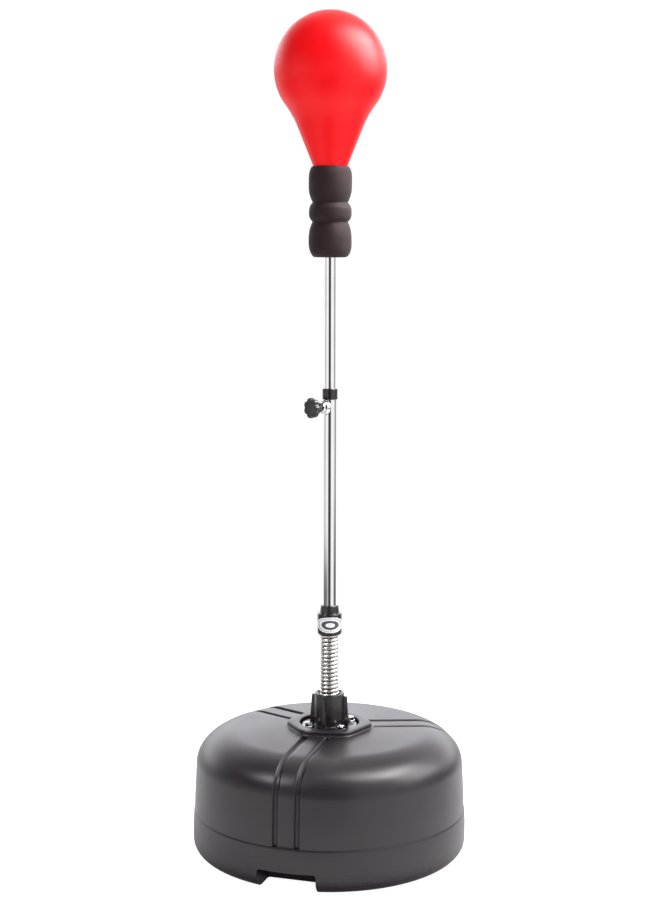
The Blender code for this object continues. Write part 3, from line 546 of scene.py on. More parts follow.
def base_outline():
    """The base's rings from its pad to its foot, as (radius, height, collar share, groove share)."""
    pad = low("spring_socket").z - 0.0003
    collar_top = high("base_shell").z
    radius = high("base_shell").x
    crown = SHOULDER_CENTRE[1] + SHOULDER_REACH[1]
    rings = [(0.012, pad, 0, 0), (0.030, pad, 0, 0), (0.0465, pad, 0, 0)]
    rings += [(r, z, 0, 0) for r, z in rounded([
        (0.0465, pad, 0), (RECESS_RADIUS, pad, 0.0012), (RECESS_RADIUS, collar_top, 0.0014),
        (0.0545, collar_top, 0)], 4)[1:-1]]
    rim = rounded([
        (COLLAR_APOTHEM - 0.0070, collar_top, 0), (COLLAR_APOTHEM, collar_top, 0.0028),
        (COLLAR_APOTHEM + 0.0008, crown + 0.0042, 0.0036), (COLLAR_APOTHEM + 0.0100, crown + 0.0038, 0)], 6)
    rings += [(r, z, 1, 0) for r, z in rim[1:-1]]
    for r in (0.0705, 0.073, 0.077, 0.082):
        share = float(1 - smoothstep((r - 0.066) / 0.018))
        rings.append((r, crown + (SHOULDER_CENTRE[0] - r) * CROWN_FALL, share, 1))
    for r in np.linspace(0.090, SHOULDER_CENTRE[0] - 0.008, 8):
        rings.append((r, crown + (SHOULDER_CENTRE[0] - r) * CROWN_FALL, 0, 1))
    for angle in np.linspace(math.pi / 2, 0, 28)[1:]:
        r = SHOULDER_CENTRE[0] + SHOULDER_REACH[0] * math.cos(angle)
        rings.append((r, SHOULDER_CENTRE[1] + SHOULDER_REACH[1] * math.sin(angle), 0, 1))
    side = ((0.2239, 0.130), (0.2249, 0.112), (0.2255, 0.100), (0.2259, 0.085), (0.2261, 0.0776))
    rings += [(r, z, 0, 1) for r, z in side]
    rings += [(0.2262, SEAM_Z + 0.0028, 0, 1), (0.2262, SEAM_Z + 0.0023, 0, 0.6)]
    rings += [(0.2262, SEAM_Z + 0.0018, 0, 0), (0.2263, SEAM_Z + 0.0013, 0, 0)]
    rings += [(0.2268, SEAM_Z + 0.0004, 0, 0)]
    rings += [(0.2272, SEAM_Z - 0.0006, 0, 0), (0.2274, SEAM_Z - 0.0030, 0, 0)]
    rings += [(0.2279, 0.060, 0, 0), (radius, 0.050, 0, 0), (radius, 0.036, 0, 0)]
    foot = 0.0236
    for angle in np.linspace(0, math.pi / 2, 12):
        rings.append((radius - foot + foot * math.cos(angle), foot - foot * math.sin(angle), 0, 0))
    rings += [(r, 0, 0, 0) for r in (0.198, 0.180, 0.150, 0.100, 0.040)]
    return rings


def build_base(material):
    """The moulded base: one grid of rings and columns, with the hand pockets cut from its foot."""
    rows = base_outline()
    rings = []
    for index, (radius, height, collar, groove) in enumerate(rows):
        turns = column_turns(radius)
        out = radius + collar * collar_bulge(turns)
        before = rows[max(index - 1, 0)]
        after = rows[min(index + 1, len(rows) - 1)]
        along = Vector((after[0] - before[0], after[1] - before[1])).normalized()
        depth = groove * groove_depth(turns, radius)
        out = out + along.y * depth
        level = height - along.x * depth
        points = zip(out * np.sin(turns), -out * np.cos(turns), level)
        rings.append([tuple(map(float, p)) for p in points])
    pad = rings[0][0][2]
    base = skin("base_shell_look", [[(0, 0, pad)]] + rings + [[(0, 0, 0)]])
    for index in range(BANDS):
        turned = Matrix.Rotation(BAND_TURN * index, 4, "Z")
        tool = block("pocket", pocket_corner, is_pocket_edge, POCKET_FILLET, 5, turned)
        shape_by(base, tool, "DIFFERENCE")
    smooth(base.data, math.radians(42))
    dress(base, material, "base", "base_shell", even=False)


def pocket_corner(x, y, z):
    """Where a cube's corner goes to make the front pocket's cutter."""
    return (math.copysign(POCKET_HALF_WIDTH, x), -POCKET_BACK if y > 0 else -0.25,
            POCKET_HEIGHT if z > 0 else -0.02)


def is_pocket_edge(first, second):
    """Whether this edge of the cutter makes a rounded inner edge of the pocket."""
    inner = sum(end.y > -0.2 or end.z > 0 for end in (first, second)) == 2
    return inner and max(first.z, second.z) > 0


def build_filler(cap_material, seal_material):
    """The filling port's cap and seal, on the back of the base."""
    matrix = outward(math.pi, (low("filler_cap").z + high("filler_cap").z) / 2)
    seat = 0.2215
    seal = rounded([
        (0.0112, seat + 0.0003, 0), (0.0150, seat + 0.0003, 0.0004), (0.0150, seat + 0.0018, 0.0004),
        (0.0112, seat + 0.0018, 0)])
    dress(lathe("filler_seal_look", seal, 64, matrix, True), seal_material, "port_seal", "filler_seal")
    top = seat + 0.0067
    cap = rounded([(0, top - 0.0016, 0), (0.0093, top - 0.0016, 0.0004), (0.0099, top, 0.0004),
                   (0.0156, top, 0.0012), (0.0156, seat + 0.0021, 0.0003), (0.0108, seat + 0.0021, 0),
                   (0.0108, seat - 0.0079, 0.001), (0, seat - 0.0079, 0)], 4)
    piece = lathe("filler_cap_look", cap, 72, matrix)

    def grip_corner(x, y, z):
        return (x * 0.0180, y * 0.0034, top - 0.0018 + (z + 0.5) * 0.0017)

    grip = block("grip", grip_corner, lambda *ends: True, 0.0004, 2, matrix, 0)
    shape_by(piece, grip, "UNION")
    smooth(piece.data, SHARP)
    dress(piece, cap_material, "port_cap", "filler_cap")


# Spring socket and its fasteners --------------------------------------------------------------------

BOLT_CIRCLE = 0.0388
FLANGE_TOP = 0.2130
RIBS = 4
RIB_TOP = (0.0017, 0.0307, 0.2622)  # half width, reach from the axis, height
RIB_FOOT = (0.0034, 0.0337, FLANGE_TOP - 0.0006)


def build_socket(material):
    """The flanged socket with its four gusset ribs."""
    bottom = low("spring_socket").z
    top = high("spring_socket").z
    wall = 0.0250
    outline = rounded([
        (0.0088, bottom, 0), (0.0465, bottom, 0.0006), (0.0465, FLANGE_TOP, 0.0014),
        (wall + 0.0004, FLANGE_TOP, 0.0022), (wall, top, 0.0012), (0.0224, top, 0.0008),
        (0.0178, top - 0.0040, 0.0014), (0.0178, 0.2325, 0.0005), (0.0046, 0.2325, 0), (0.0046, 0.2150, 0),
        (0.0088, 0.2150, 0)], 5)
    socket = lathe("spring_socket_look", outline, 128, None, True)
    for index in range(RIBS):
        turned = Matrix.Rotation(math.tau / RIBS * index, 4, "Z")
        shape_by(socket, block("rib", rib_corner, is_rib_edge, 0.0009, 4, turned), "UNION")
    for bolt in bolt_frames():
        hole = plug(0.0046, -0.02, 0.02, matrix=Matrix.Translation((0, 0, FLANGE_TOP)) @ bolt)
        shape_by(socket, hole, "DIFFERENCE")
    smooth(socket.data, math.radians(38))
    dress(socket, material, "base", "spring_socket")


def rib_corner(x, y, z):
    """Where a cube's corner goes to make the front rib, which tapers upward."""
    half_width, reach, height = RIB_TOP if z > 0 else RIB_FOOT
    return (math.copysign(half_width, x), -(reach if y < 0 else 0.0215), height)


def is_rib_edge(first, second):
    """Whether this edge of the rib is on its outer end."""
    return max(first.y, second.y) < -0.025


def bolt_frames():
    """Frames of the four bolts on their circle, at height zero."""
    frames = []
    for turn in (math.pi / 4 + math.pi / 2 * k for k in range(4)):
        centre = Matrix.Translation((BOLT_CIRCLE * math.sin(turn), -BOLT_CIRCLE * math.cos(turn), 0))
        frames.append(centre @ Matrix.Rotation(turn * 3, 4, "Z"))
    return frames


def build_bolts(material):
    """Hexagon bolts with a chamfered, slightly domed head, and their washers."""
    for number, frame_matrix in enumerate(bolt_frames(), 1):
        node = f"socket_bolt_{number}"
        washer = f"socket_washer_{number}"
        face = high(washer).z + 0.0002
        top = high(node).z
        prism = skin("prism", [[(0, 0, face)], circle(0.0075, face, 6), circle(0.0075, top + 0.001, 6),
                               [(0, 0, top + 0.001)]], frame_matrix)
        dome = [(0.0, top), (0.0022, top - 0.00015), (0.0042, top - 0.0006), (0.0058, top - 0.0013),
                (0.0068, top - 0.0021), (0.0076, top - 0.0031), (0.0076, face - 0.001), (0, face - 0.001)]
        head = lathe(f"{node}_look", dome, 60, frame_matrix)
        shape_by(head, prism, "INTERSECT")
        shape_by(head, plug(0.0040, face + 0.001, low(node).z, matrix=frame_matrix), "UNION")
        smooth(head.data, math.radians(28))
        dress(head, material, "base", node)
        ring = rounded([(0.0046, low(washer).z, 0), (0.0085, low(washer).z, 0.0003),
                        (0.0085, high(washer).z, 0.0005), (0.0046, high(washer).z, 0)], 3)
        dress(lathe(f"{washer}_look", ring, 48, frame_matrix, True), material, "base", washer)


# Spring ---------------------------------------------------------------------------------------------

WIRE_RADIUS = 0.0030
COIL_RADIUS = 0.0136
COIL_PITCH = 0.0067
COIL_POINTS = 40
WIRE_POINTS = 16
SOCKET_MOUTH = 0.2680
COUPLER_MOUTH = 0.3660


def coil_rings(start, end, first):
    """Rings of wire from one height to another. first is the height at which the coil's turn is zero."""
    count = round((end - start) / COIL_PITCH * COIL_POINTS)
    rings = []
    slope = COIL_PITCH / (math.tau * COIL_RADIUS)
    lean = math.atan(slope)
    for index in range(count + 1):
        height = start + (end - start) * index / count
        turn = math.tau * (height - first) / COIL_PITCH
        out = Vector((math.cos(turn), math.sin(turn), 0))
        along = Vector((-math.sin(turn) * math.cos(lean), math.cos(turn) * math.cos(lean), math.sin(lean)))
        across = along.cross(out)
        centre = out * COIL_RADIUS + Vector((0, 0, height))
        turns = [math.tau * k / WIRE_POINTS for k in range(WIRE_POINTS)]
        ring = [centre + (out * math.cos(t) + across * math.sin(t)) * WIRE_RADIUS for t in turns]
        rings.append([tuple(p) for p in ring])
    first_cap = [tuple(sum((Vector(p) for p in rings[0]), Vector()) / WIRE_POINTS)]
    last_cap = [tuple(sum((Vector(p) for p in rings[-1]), Vector()) / WIRE_POINTS)]
    return [first_cap] + rings + [last_cap]


def build_spring(material):
    """The spring in two halves, split halfway between the socket's mouth and the coupler's mouth."""
    bottom = low("spring").z + WIRE_RADIUS
    top = high("spring").z - WIRE_RADIUS
    middle = (SOCKET_MOUTH + COUPLER_MOUTH) / 2
    lower = skin("spring_lower_half", coil_rings(bottom, middle, bottom))
    upper = skin("spring_upper_half", coil_rings(middle, top, bottom))
    dress(lower, material, None, even=False)
    dress(upper, material, None, even=False)
    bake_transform(lower)
    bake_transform(upper)
    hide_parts("spring")


# Mast -----------------------------------------------------------------------------------------------


BADGE_TURN = math.radians(21)
BADGE_HALF_TURN = math.radians(75)
BADGE_STEPS = 128


def build_coupler(material, screw_material, white, grey):
    """The stepped sleeve over the spring's end, its grub screw and its plain badge."""
    top = high("coupler").z
    bottom = low("coupler").z
    radius = high("coupler").x
    seat = low("lower_tube").z
    bore = 0.0113
    outline = rounded([
        (0.0178, bottom, 0), (0.0191, bottom, 0.0004), (radius, bottom + 0.0026, 0.0012),
        (radius, top - 0.0137, 0.0010), (0.0160, top - 0.0128, 0.0014), (0.0146, top, 0.0010),
        (bore, top, 0.0004), (bore, seat, 0), (0.0178, seat, 0)], 5)
    coupler = lathe("coupler_look", outline, 128, None, True)
    back = outward(BADGE_TURN + math.pi, (low("coupler_screw").z + high("coupler_screw").z) / 2)
    shape_by(coupler, plug(0.0027, 0.0105, 0.022, matrix=back), "DIFFERENCE")
    smooth(coupler.data, SHARP)
    dress(coupler, material, "lower_mast", "coupler")
    screw = rounded([
        (0, 0.0133, 0), (0.0012, 0.0133, 0), (0.0012, 0.0145, 0.0001), (0.0023, 0.0145, 0.0003),
        (0.0023, 0.0114, 0), (0, 0.0114, 0)], 3)
    dress(lathe("coupler_screw_look", screw, 36, back), screw_material, "lower_mast", "coupler_screw")
    build_badge(white, grey, radius + 0.0003)


def badge_ring(share, radius):
    """One oval ring of the badge, wrapped on a cylinder."""
    middle = (low("coupler_badge").z + high("coupler_badge").z) / 2
    half_height = (high("coupler_badge").z - low("coupler_badge").z) / 2
    ring = []
    for angle in np.linspace(0, math.tau, BADGE_STEPS, endpoint=False):
        turn = BADGE_TURN + share * BADGE_HALF_TURN * math.cos(angle)
        height = middle + share * half_height * math.sin(angle)
        ring.append((radius * math.sin(turn), -radius * math.cos(turn), height))
    return ring


def build_badge(white, grey, inner):
    """A plain oval badge: a white field, a raised white border, a thin grey line and a grey ring."""
    field = inner + 0.00035
    raised = inner + 0.00058
    rows = [
        (0.0, inner), (0.3, inner), (0.6, inner), (0.985, inner), (1.0, inner + 0.0001),
        (1.0, raised - 0.00015), (0.99, raised), (0.92, raised), (0.905, field), (0.6, field), (0.3, field),
        (0.0, field)]
    rings = [badge_ring(share, radius) for share, radius in rows]
    rings[0] = rings[0][:1]
    rings[-1] = rings[-1][:1]
    dress(skin("coupler_badge_look", rings), white, "lower_mast", "coupler_badge", even=False)
    for name, outer, inside in (("badge_line_outer", 0.84, 0.80), ("badge_ring_inner", 0.58, 0.30)):
        shares = np.linspace(outer, inside, 8)
        rows = [(share, field + 0.0001) for share in shares]
        rows += [(share, field - 0.0001) for share in shares[::-1]]
        line = skin(name, [badge_ring(share, radius) for share, radius in rows], loop=True)
        dress(line, grey, "lower_mast", even=False)


def build_tubes(metal, plastic):
    """Both tubes and the collar at the lower one's mouth."""
    bottom = low("lower_tube").z
    top = high("lower_tube").z
    lower = add_levels(tube_outline(0.0098, 0.0110, bottom, top), 24)
    tube = lathe("lower_tube_look", lower, 128, None, True)
    shape_by(tube, plug(0.0044, 0.005, 0.018, 40, clamp_frame()), "DIFFERENCE")
    smooth(tube.data, SHARP)
    dress(tube, metal, "lower_mast", "lower_tube")
    bottom = low("upper_tube").z
    top = high("upper_tube").z
    upper = add_levels(tube_outline(0.0083, 0.0095, bottom, top), 32)
    dress(lathe("upper_tube_look", upper, 128, None, True), metal, "upper_mast", "upper_tube")
    top = high("tube_collar").z
    bottom = low("tube_collar").z
    out = high("tube_collar").x
    ring = rounded([
        (0.0098, top, 0.0003), (out, top, 0.0011), (out, bottom, 0.0008), (0.0113, bottom, 0.0003),
        (0.0113, high("lower_tube").z + 0.0003, 0), (0.0098, high("lower_tube").z + 0.0003, 0)], 5)
    dress(lathe("tube_collar_look", ring, 128, None, True), plastic, "lower_mast", "tube_collar")


def tube_outline(inner, outer, bottom, top):
    """A tube's section, with its outer edges rounded."""
    return rounded([(inner, bottom, 0), (outer, bottom, 0.0003), (outer, top, 0.0003), (inner, top, 0)], 3)


def add_levels(outline, count):
    """The outline with its long upright side divided, so that the tube has even faces."""
    points = []
    for index, point in enumerate(outline):
        points.append(point)
        here = Vector(point)
        after = Vector(outline[(index + 1) % len(outline)])
        if abs(after.y - here.y) > 0.1:
            points += [tuple(here.lerp(after, step / count)) for step in range(1, count)]
    return points


# Clamp ----------------------------------------------------------------------------------------------

CLAMP_TURN = math.radians(-34.2)
KNOB_LOBES = 7


def clamp_frame():
    """The frame of the clamp's axis, Z outward from the mast."""
    return outward(CLAMP_TURN, (low("clamp_stud").z + high("clamp_stud").z) / 2)


def knob_ring(radius, height, lobes, steps=168):
    """A ring of the knob. lobes is how deep its seven valleys are."""
    ring = []
    for index in range(steps):
        angle = math.tau * index / steps
        dip = lobes * (0.5 - 0.5 * math.cos(KNOB_LOBES * angle)) ** 2
        out = radius - dip
        ring.append((out * math.cos(angle), out * math.sin(angle), height))
    return ring


def build_clamp(metal, plastic, stud_metal, pad_material):
    """The clamp's boss, stud, pad and lobed knob."""
    matrix = clamp_frame()
    boss = rounded([
        (0.0044, 0.0075, 0), (0.0115, 0.0075, 0.0006), (0.0115, 0.0148, 0.0012), (0.0079, 0.0148, 0.0012),
        (0.0075, 0.0180, 0.0008), (0.0044, 0.0180, 0.0003)], 5)
    piece = lathe("clamp_boss_look", boss, 96, matrix, True)
    centre = (low("clamp_boss").z + high("clamp_boss").z) / 2
    shape_by(piece, plug(0.0113, centre - 0.02, centre + 0.02, 96), "DIFFERENCE")
    smooth(piece.data, math.radians(38))
    dress(piece, metal, "lower_mast", "clamp_boss")
    stud = rounded([(0, 0.0116, 0), (0.0040, 0.0116, 0.0005), (0.0040, 0.0374, 0.0005), (0, 0.0374, 0)], 3)
    dress(lathe("clamp_stud_look", stud, 48, matrix), stud_metal, "knob", "clamp_stud")
    pad = rounded([(0, 0.0100, 0), (0.0037, 0.0100, 0.0003), (0.0037, 0.0111, 0.0002), (0, 0.0111, 0)], 3)
    dress(lathe("clamp_pad_look", pad, 48, matrix), pad_material, "pad", "clamp_pad")
    depth = 0.0026
    rows = [
        (0.0044, 0.0184, 0), (0.0060, 0.0184, 0), (0.0063, 0.0189, 0), (0.0072, 0.0206, 0.08),
        (0.0084, 0.0228, 0.3), (0.0098, 0.0254, 0.55), (0.0115, 0.0281, 0.8), (0.0134, 0.0304, 0.95),
        (0.0150, 0.0319, 1), (0.0161, 0.0329, 1), (0.0168, 0.0340, 1), (0.0170, 0.0352, 1),
        (0.0170, 0.0374, 1), (0.0169, 0.0396, 1), (0.0165, 0.0409, 1), (0.0158, 0.0417, 1),
        (0.0147, 0.0420, 0.9), (0.0125, 0.0419, 0.5), (0.0100, 0.0417, 0), (0.0050, 0.0415, 0)]
    rings = [knob_ring(r, z, depth * lobes) for r, z, lobes in rows]
    rings = [[(0, 0, 0.0378)], knob_ring(0.0044, 0.0378, 0)] + rings + [[(0, 0, 0.0415)]]
    dress(skin("clamp_knob_look", rings, matrix), plastic, "knob", "clamp_knob")


# Foam sleeve and ball -------------------------------------------------------------------------------


FOAM_WAISTS = (1.0474, 1.0785)
FOAM_WAIST_RADIUS = 0.0288
FOAM_DENT = 0.00012
FOAM_PEAKS = ((0.0348, 1.0165), (0.0345, 1.0625), (0.0351, 1.1115))
FOAM_BLUNT = 0.7  # how square the sleeve's ends are
FOAM_SOFT = 1.15  # how square the cushions are at a waist


def cushion(peak, edge, power, steps=22):
    """Points from a cushion's peak to one of its edges, closer together towards the edge."""
    points = []
    for index in range(steps + 1):
        share = math.sin(math.pi / 2 * index / steps)
        swell = (1 - share**3) ** power
        points.append((edge[0] + (peak[0] - edge[0]) * swell, peak[1] + (edge[1] - peak[1]) * share))
    return points


def build_foam(material):
    """The foam sleeve: three soft cushions between two pressed waists, with a slightly uneven skin."""
    bottom = low("foam_sleeve").z
    top = high("foam_sleeve").z
    edges = [(0.0258, bottom)] + [(FOAM_WAIST_RADIUS, z) for z in FOAM_WAISTS] + [(0.0288, top)]
    last = len(FOAM_PEAKS) - 1
    outline = []
    for number in range(last, -1, -1):
        peak = FOAM_PEAKS[number]
        rising = cushion(peak, edges[number + 1], FOAM_BLUNT if number == last else FOAM_SOFT)
        falling = cushion(peak, edges[number], FOAM_BLUNT if number == 0 else FOAM_SOFT)
        outline += rising[:0:-1] + falling[:-1]
    outline += [(0.0252, bottom), (0.0180, bottom), (0.0106, bottom), (0.0101, bottom + 0.0006)]
    outline += [(0.0101, bottom + 0.030), (0.0101, bottom + 0.060), (0.0101, bottom + 0.092)]
    outline += [(0.0262, bottom + 0.093), (0.0262, top - 0.0250), (0.0262, top - 0.0087)]
    outline += [(0.0281, top - 0.0008)]
    rings = []
    for radius, height in outline:
        ring = []
        for x, y, z in circle(radius, height, 144):
            turn = math.atan2(y, x)
            dent = math.sin(3 * turn + 40 * z) + math.sin(5 * turn - 90 * z + 1)
            dent += math.sin(2 * turn + 160 * z + 2)
            out = 1 + (FOAM_DENT * dent / radius if radius > FOAM_WAIST_RADIUS else 0)
            ring.append((x * out, y * out, z))
        rings.append(ring)
    dress(skin("foam_sleeve_look", rings, loop=True), material, "upper_mast", "foam_sleeve", even=False)


BALL_CENTRE_Z = 1.2885
BALL_UP = 0.0940
BALL_DOWN = 0.0919
BALL_LEAVES_ROUND = math.radians(-37)
CONE_TOP = (0.0538, 1.2007)
CONE_BOTTOM = (0.0281, 1.1370)
THROAT = (0.0252, 1.1340)
NECK = (0.0236, 1.1310)
VALVE_HOLE_RADIUS = 0.0054
BALL_WALL = 0.0018


def ball_outline(depth):
    """The ball's outline from crown to neck: an oval that flows into a straight cone."""
    radius = (high("ball").x - low("ball").x) / 2 - depth
    inward = Vector((-depth, 0))
    points = []
    for angle in np.linspace(math.acos(VALVE_HOLE_RADIUS / radius), BALL_LEAVES_ROUND, 72):
        rise = (BALL_UP if angle > 0 else BALL_DOWN) - depth
        points.append((radius * math.cos(angle), BALL_CENTRE_Z + rise * math.sin(angle)))
    start = Vector(points[-1])
    leave = BALL_LEAVES_ROUND
    tangent = Vector((radius * math.sin(leave), -rise * math.cos(leave))).normalized()
    cone_top = Vector(CONE_TOP) + inward
    cone_end = Vector(CONE_BOTTOM) + inward
    down = (cone_end - cone_top).normalized()
    pull = (cone_top - start).length / 3
    points += curve_points((start, start + tangent * pull, cone_top - down * pull, cone_top), 20)
    for step in range(1, 13):
        points.append(tuple(cone_top.lerp(cone_end, step / 12)))
    throat = Vector(THROAT) + inward
    slant = Vector((1, 1)).normalized()
    pull = (throat - cone_end).length / 2
    points += curve_points((cone_end, cone_end + down * pull, throat + slant * pull, throat), 6)
    points.append((NECK[0] - depth, NECK[1]))
    points.append((NECK[0] - depth, low("ball").z))
    return points


def curve_points(corners, steps):
    """Points on a cubic curve, without its first point."""
    points = []
    for index in range(1, steps + 1):
        t = index / steps
        weights = ((1 - t) ** 3, 3 * t * (1 - t) ** 2, 3 * t**2 * (1 - t), t**3)
        total = sum((w * Vector(c) for w, c in zip(weights, corners)), Vector((0, 0)))
        points.append((total.x, total.y))
    return points


def build_ball(vinyl, valve_material):
    """The ball and its valve."""
    outline = ball_outline(0) + ball_outline(BALL_WALL)[::-1]
    dress(lathe("ball_look", outline, 160, None, True), vinyl, "upper_mast", "ball", even=False)
    top = high("ball_valve").z
    under = top - 0.0030
    valve = rounded([
        (0.0011, top - 0.0075, 0), (0.0011, top, 0.0003), (0.0050, top, 0.0008), (0.0050, under, 0.0002),
        (0.0100, under - 0.0003, 0.0004), (0.0100, under - 0.0015, 0.0004),
        (0.0050, under - 0.0017, 0.0002), (0.0050, low("ball_valve").z, 0.0006),
        (0.0011, low("ball_valve").z, 0)], 4)
    dress(lathe("ball_valve_look", valve, 64, None, True), valve_material, "upper_mast", "ball_valve")


# Stage ----------------------------------------------------------------------------------------------

CAMERA_DISTANCE = 2.888
CAMERA_HEIGHT = 1.053
CAMERA_PITCH = 0.1300
CAMERA_ROLL = 0.0017
CAMERA_LENS = 70.9
CAMERA_SHIFT = 0.0002


def add_camera():
    """The camera, in front and a little above the base, looking down at the stand's middle."""
    data = bpy.data.cameras.new("camera")
    data.lens = CAMERA_LENS
    data.sensor_width = 36
    camera = bpy.data.objects.new("camera", data)
    right = Vector((math.cos(VIEW_TURN), math.sin(VIEW_TURN), 0))
    back = Vector((math.sin(VIEW_TURN), -math.cos(VIEW_TURN), 0))
    place = back * CAMERA_DISTANCE + right * CAMERA_SHIFT + Vector((0, 0, CAMERA_HEIGHT))
    turned = Matrix.Rotation(VIEW_TURN, 4, "Z") @ Matrix.Rotation(math.pi / 2 - CAMERA_PITCH, 4, "X")
    camera.matrix_world = Matrix.Translation(place) @ turned @ Matrix.Rotation(CAMERA_ROLL, 4, "Z")
    bpy.context.scene.collection.objects.link(camera)
    bpy.context.scene.camera = camera


def add_softbox(name, turn, distance, height, size, power, aim, dull=True, shiny=True, spread=math.pi):
    """An area light that faces the stand and lights its dull surfaces, its shiny ones or both."""
    data = bpy.data.lights.new(name, "AREA")
    data.shape = "RECTANGLE"
    data.size = size[0]
    data.size_y = size[1]
    data.energy = power
    data.spread = spread
    light = bpy.data.objects.new(name, data)
    place = Vector((math.sin(turn) * distance, -math.cos(turn) * distance, height))
    light.location = place
    light.rotation_euler = (Vector((0, 0, aim)) - place).to_track_quat("-Z", "Y").to_euler()
    light.visible_camera = False
    light.visible_diffuse = dull
    light.visible_glossy = shiny
    bpy.context.scene.collection.objects.link(light)


# What shiny surfaces see round the stand: turns run from the camera towards its right.
AISLE = (math.radians(-5.5), math.radians(22.5), math.radians(4))
LEFT_DIP = (math.radians(-96), math.radians(19), math.radians(9))
RIGHT_DIP = (math.radians(108), math.radians(22), math.radians(12))
LOW_LEFT = (math.radians(-80), math.radians(44), math.radians(6))
LOW_RIGHT = (math.radians(102), math.radians(32), math.radians(10))
BACKDROP = (0.25, 0.13, 0.08)


def add_world():
    """A white room with a dark aisle round the camera, greyer corners and a bright backdrop."""
    g = Graph("room", bpy.data.worlds)
    bpy.context.scene.world = g.owner
    turned = g.node("Mapping", vector_type="POINT")
    turned.inputs["Rotation"].default_value = (0, 0, -VIEW_TURN)
    g.join(g.coordinates.outputs["Generated"], turned.inputs["Vector"])
    split = g.node("SeparateXYZ")
    g.join(turned.outputs["Vector"], split.inputs["Vector"])
    right = split.outputs["X"]
    away = split.outputs["Y"]
    up = split.outputs["Z"]
    side = g.maths("ARCTAN2", right, g.maths("MULTIPLY", away, -1.0))
    low_down = g.maths("MULTIPLY", g.rise(up, -0.170, -0.210), g.rise(up, -0.50, -0.35))
    upper_left = g.maths("MULTIPLY", g.rise(up, -0.02, 0.30), g.rise(right, 0.10, -0.45))
    upper_left = g.maths("MULTIPLY", upper_left, g.rise(away, 0.75, 0.35))
    shades = [  # where the room is darker, and by how much
        (g.band(side, *AISLE), 0.94),
        (g.band(side, *LEFT_DIP), 0.40),
        (g.band(side, *RIGHT_DIP), 0.66),
        (g.maths("MULTIPLY", low_down, g.band(side, *LOW_LEFT)), 0.78),
        (g.maths("MULTIPLY", g.maths("MULTIPLY", g.rise(up, -0.130, -0.215), g.rise(up, -0.50, -0.35)),
                 g.band(side, *LOW_RIGHT)), 0.70),
        (upper_left, 0.88),
        (g.rise(up, 0.75, 0.97), 0.15),
    ]
    level = g.maths("ADD", 1.0, 0.0)
    for mask, amount in shades:
        level = g.maths("MULTIPLY", level, g.maths("SUBTRACT", 1.0, g.maths("MULTIPLY", mask, amount)))
    backdrop = g.maths("MULTIPLY", g.rise(away, 0.30, 0.70), g.band(up, *BACKDROP))
    level = g.maths("ADD", level, g.maths("MULTIPLY", backdrop, 2.2))
    seen = g.node("LightPath").outputs["Is Camera Ray"]
    level = g.maths("ADD", g.maths("MULTIPLY", level, g.maths("SUBTRACT", 1.0, seen)),
                    g.maths("MULTIPLY", seen, 1.05))
    background = g.tree.nodes["Background"]
    g.join(g.mix(backdrop, (1.0, 1.0, 1.0), (0.96, 0.96, 1.04)), background.inputs["Color"])
    g.join(level, background.inputs["Strength"])


def add_floor():
    """A pale floor that fades into the white of the room."""
    mesh = bpy.data.meshes.new("floor")
    bm = bmesh.new()
    bmesh.ops.create_circle(bm, cap_ends=True, segments=64, radius=4.0)
    bm.to_mesh(mesh)
    bm.free()
    floor = bpy.data.objects.new("floor", mesh)
    bpy.context.scene.collection.objects.link(floor)
    g = Graph("pale_floor")
    g.colour(g.mix(g.spread(g.noise(5, 2), 0.3, 0.7, 0, 1), (0.86, 0.86, 0.865), (0.88, 0.88, 0.885)))
    g.set(Roughness=0.6, Specular_IOR_Level=0.15, Emission_Color=(1, 1, 1, 1))
    seen = g.node("LightPath").outputs["Is Camera Ray"]
    g.join(g.spread(seen, 0.0, 1.0, 0.24, 0.9), g.shader.inputs["Emission Strength"])
    distance = g.node("VectorMath", operation="LENGTH")
    g.join(g.place, distance.inputs[0])
    g.join(g.spread(distance.outputs["Value"], 0.60, 1.6, 1, 0), g.shader.inputs["Alpha"])
    mesh.materials.append(g.owner)


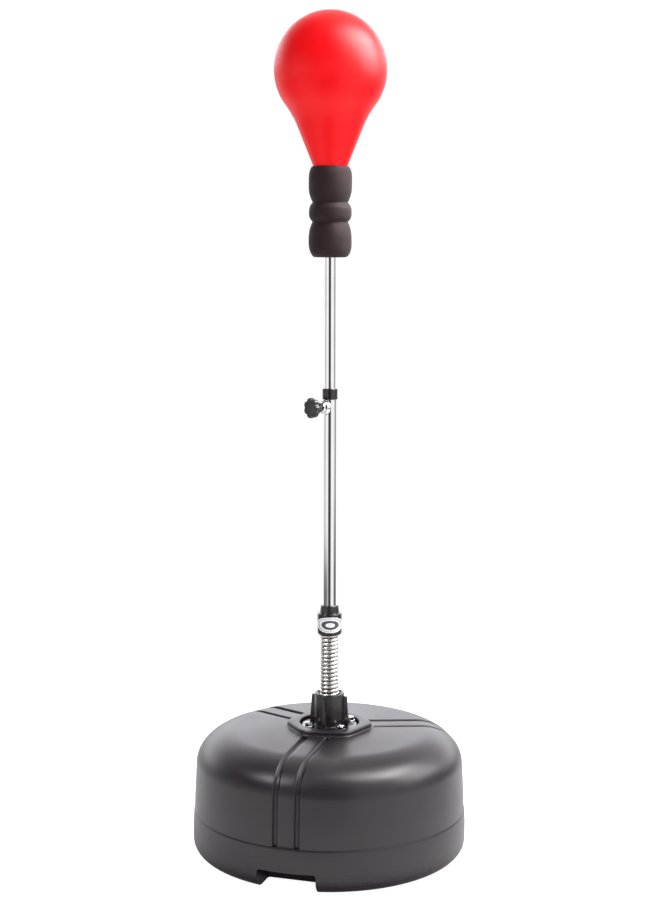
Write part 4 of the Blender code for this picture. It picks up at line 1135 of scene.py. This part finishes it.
def add_stage():
    """Camera, floor, room and soft lights."""
    add_camera()
    add_world()
    add_floor()
    add_softbox("key_right", VIEW_TURN + math.radians(93), 2.3, 2.25, (1.8, 2.2), 80, 1.5)
    add_softbox("high_right", VIEW_TURN + math.radians(62), 1.3, 3.3, (1.4, 1.4), 36, 0.8)
    add_softbox("ball_gloss", VIEW_TURN + math.radians(87), 0.80, 1.88, (1.0, 1.0), 12, 1.29, False,
                spread=math.radians(64))
    add_softbox("spring_gloss", VIEW_TURN - math.radians(62), 0.75, 1.10, (0.5, 0.5), 0.5, 0.32, False,
                spread=math.radians(30))
    add_softbox("front_fill", VIEW_TURN + math.radians(-5), 4.0, 1.2, (2.6, 2.2), 62, 0.9, True, False)
    add_softbox("left_fill", VIEW_TURN - math.radians(70), 3.0, 1.2, (2.0, 2.4), 14, 1.0, True, False)
    view = bpy.context.scene.view_settings
    view.view_transform = "Standard"
    view.look = "None"


def finish_hidden_nodes(steel, brass_metal, nylon_plastic, black):
    """Materials for the CAD pieces that keep their own shape."""
    finishes = {"lower_spring_plug": steel, "upper_spring_plug": steel, "anchor_screw": steel,
                "neck_clamp": steel, "ball_mount": nylon_plastic, "tube_end_plug": black}
    for number in range(1, 5):
        finishes[f"socket_insert_{number}"] = brass_metal
    for node, material in finishes.items():
        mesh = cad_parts[node].data
        for index in range(len(mesh.materials)):
            mesh.materials[index] = material


def main():
    """Builds every piece, then the stage."""
    black = gloss_black("gloss_black")
    steel = turned_steel()
    zinc = bright_zinc()
    plated = chrome()
    nylon_plastic = nylon()
    black_rubber = rubber()
    build_base(moulded_shell())
    build_filler(black, black_rubber)
    build_socket(black)
    build_bolts(zinc)
    build_spring(spring_steel())
    build_coupler(black, steel, badge_face(), badge_line())
    build_tubes(plated, gloss_black("collar_black", 0.09))
    build_clamp(plated, gloss_black("knob_black", 0.28), zinc, nylon_plastic)
    build_foam(foam())
    build_ball(ball_vinyl(), black_rubber)
    finish_hidden_nodes(steel, brass(), nylon_plastic, black)
    add_stage()


main()
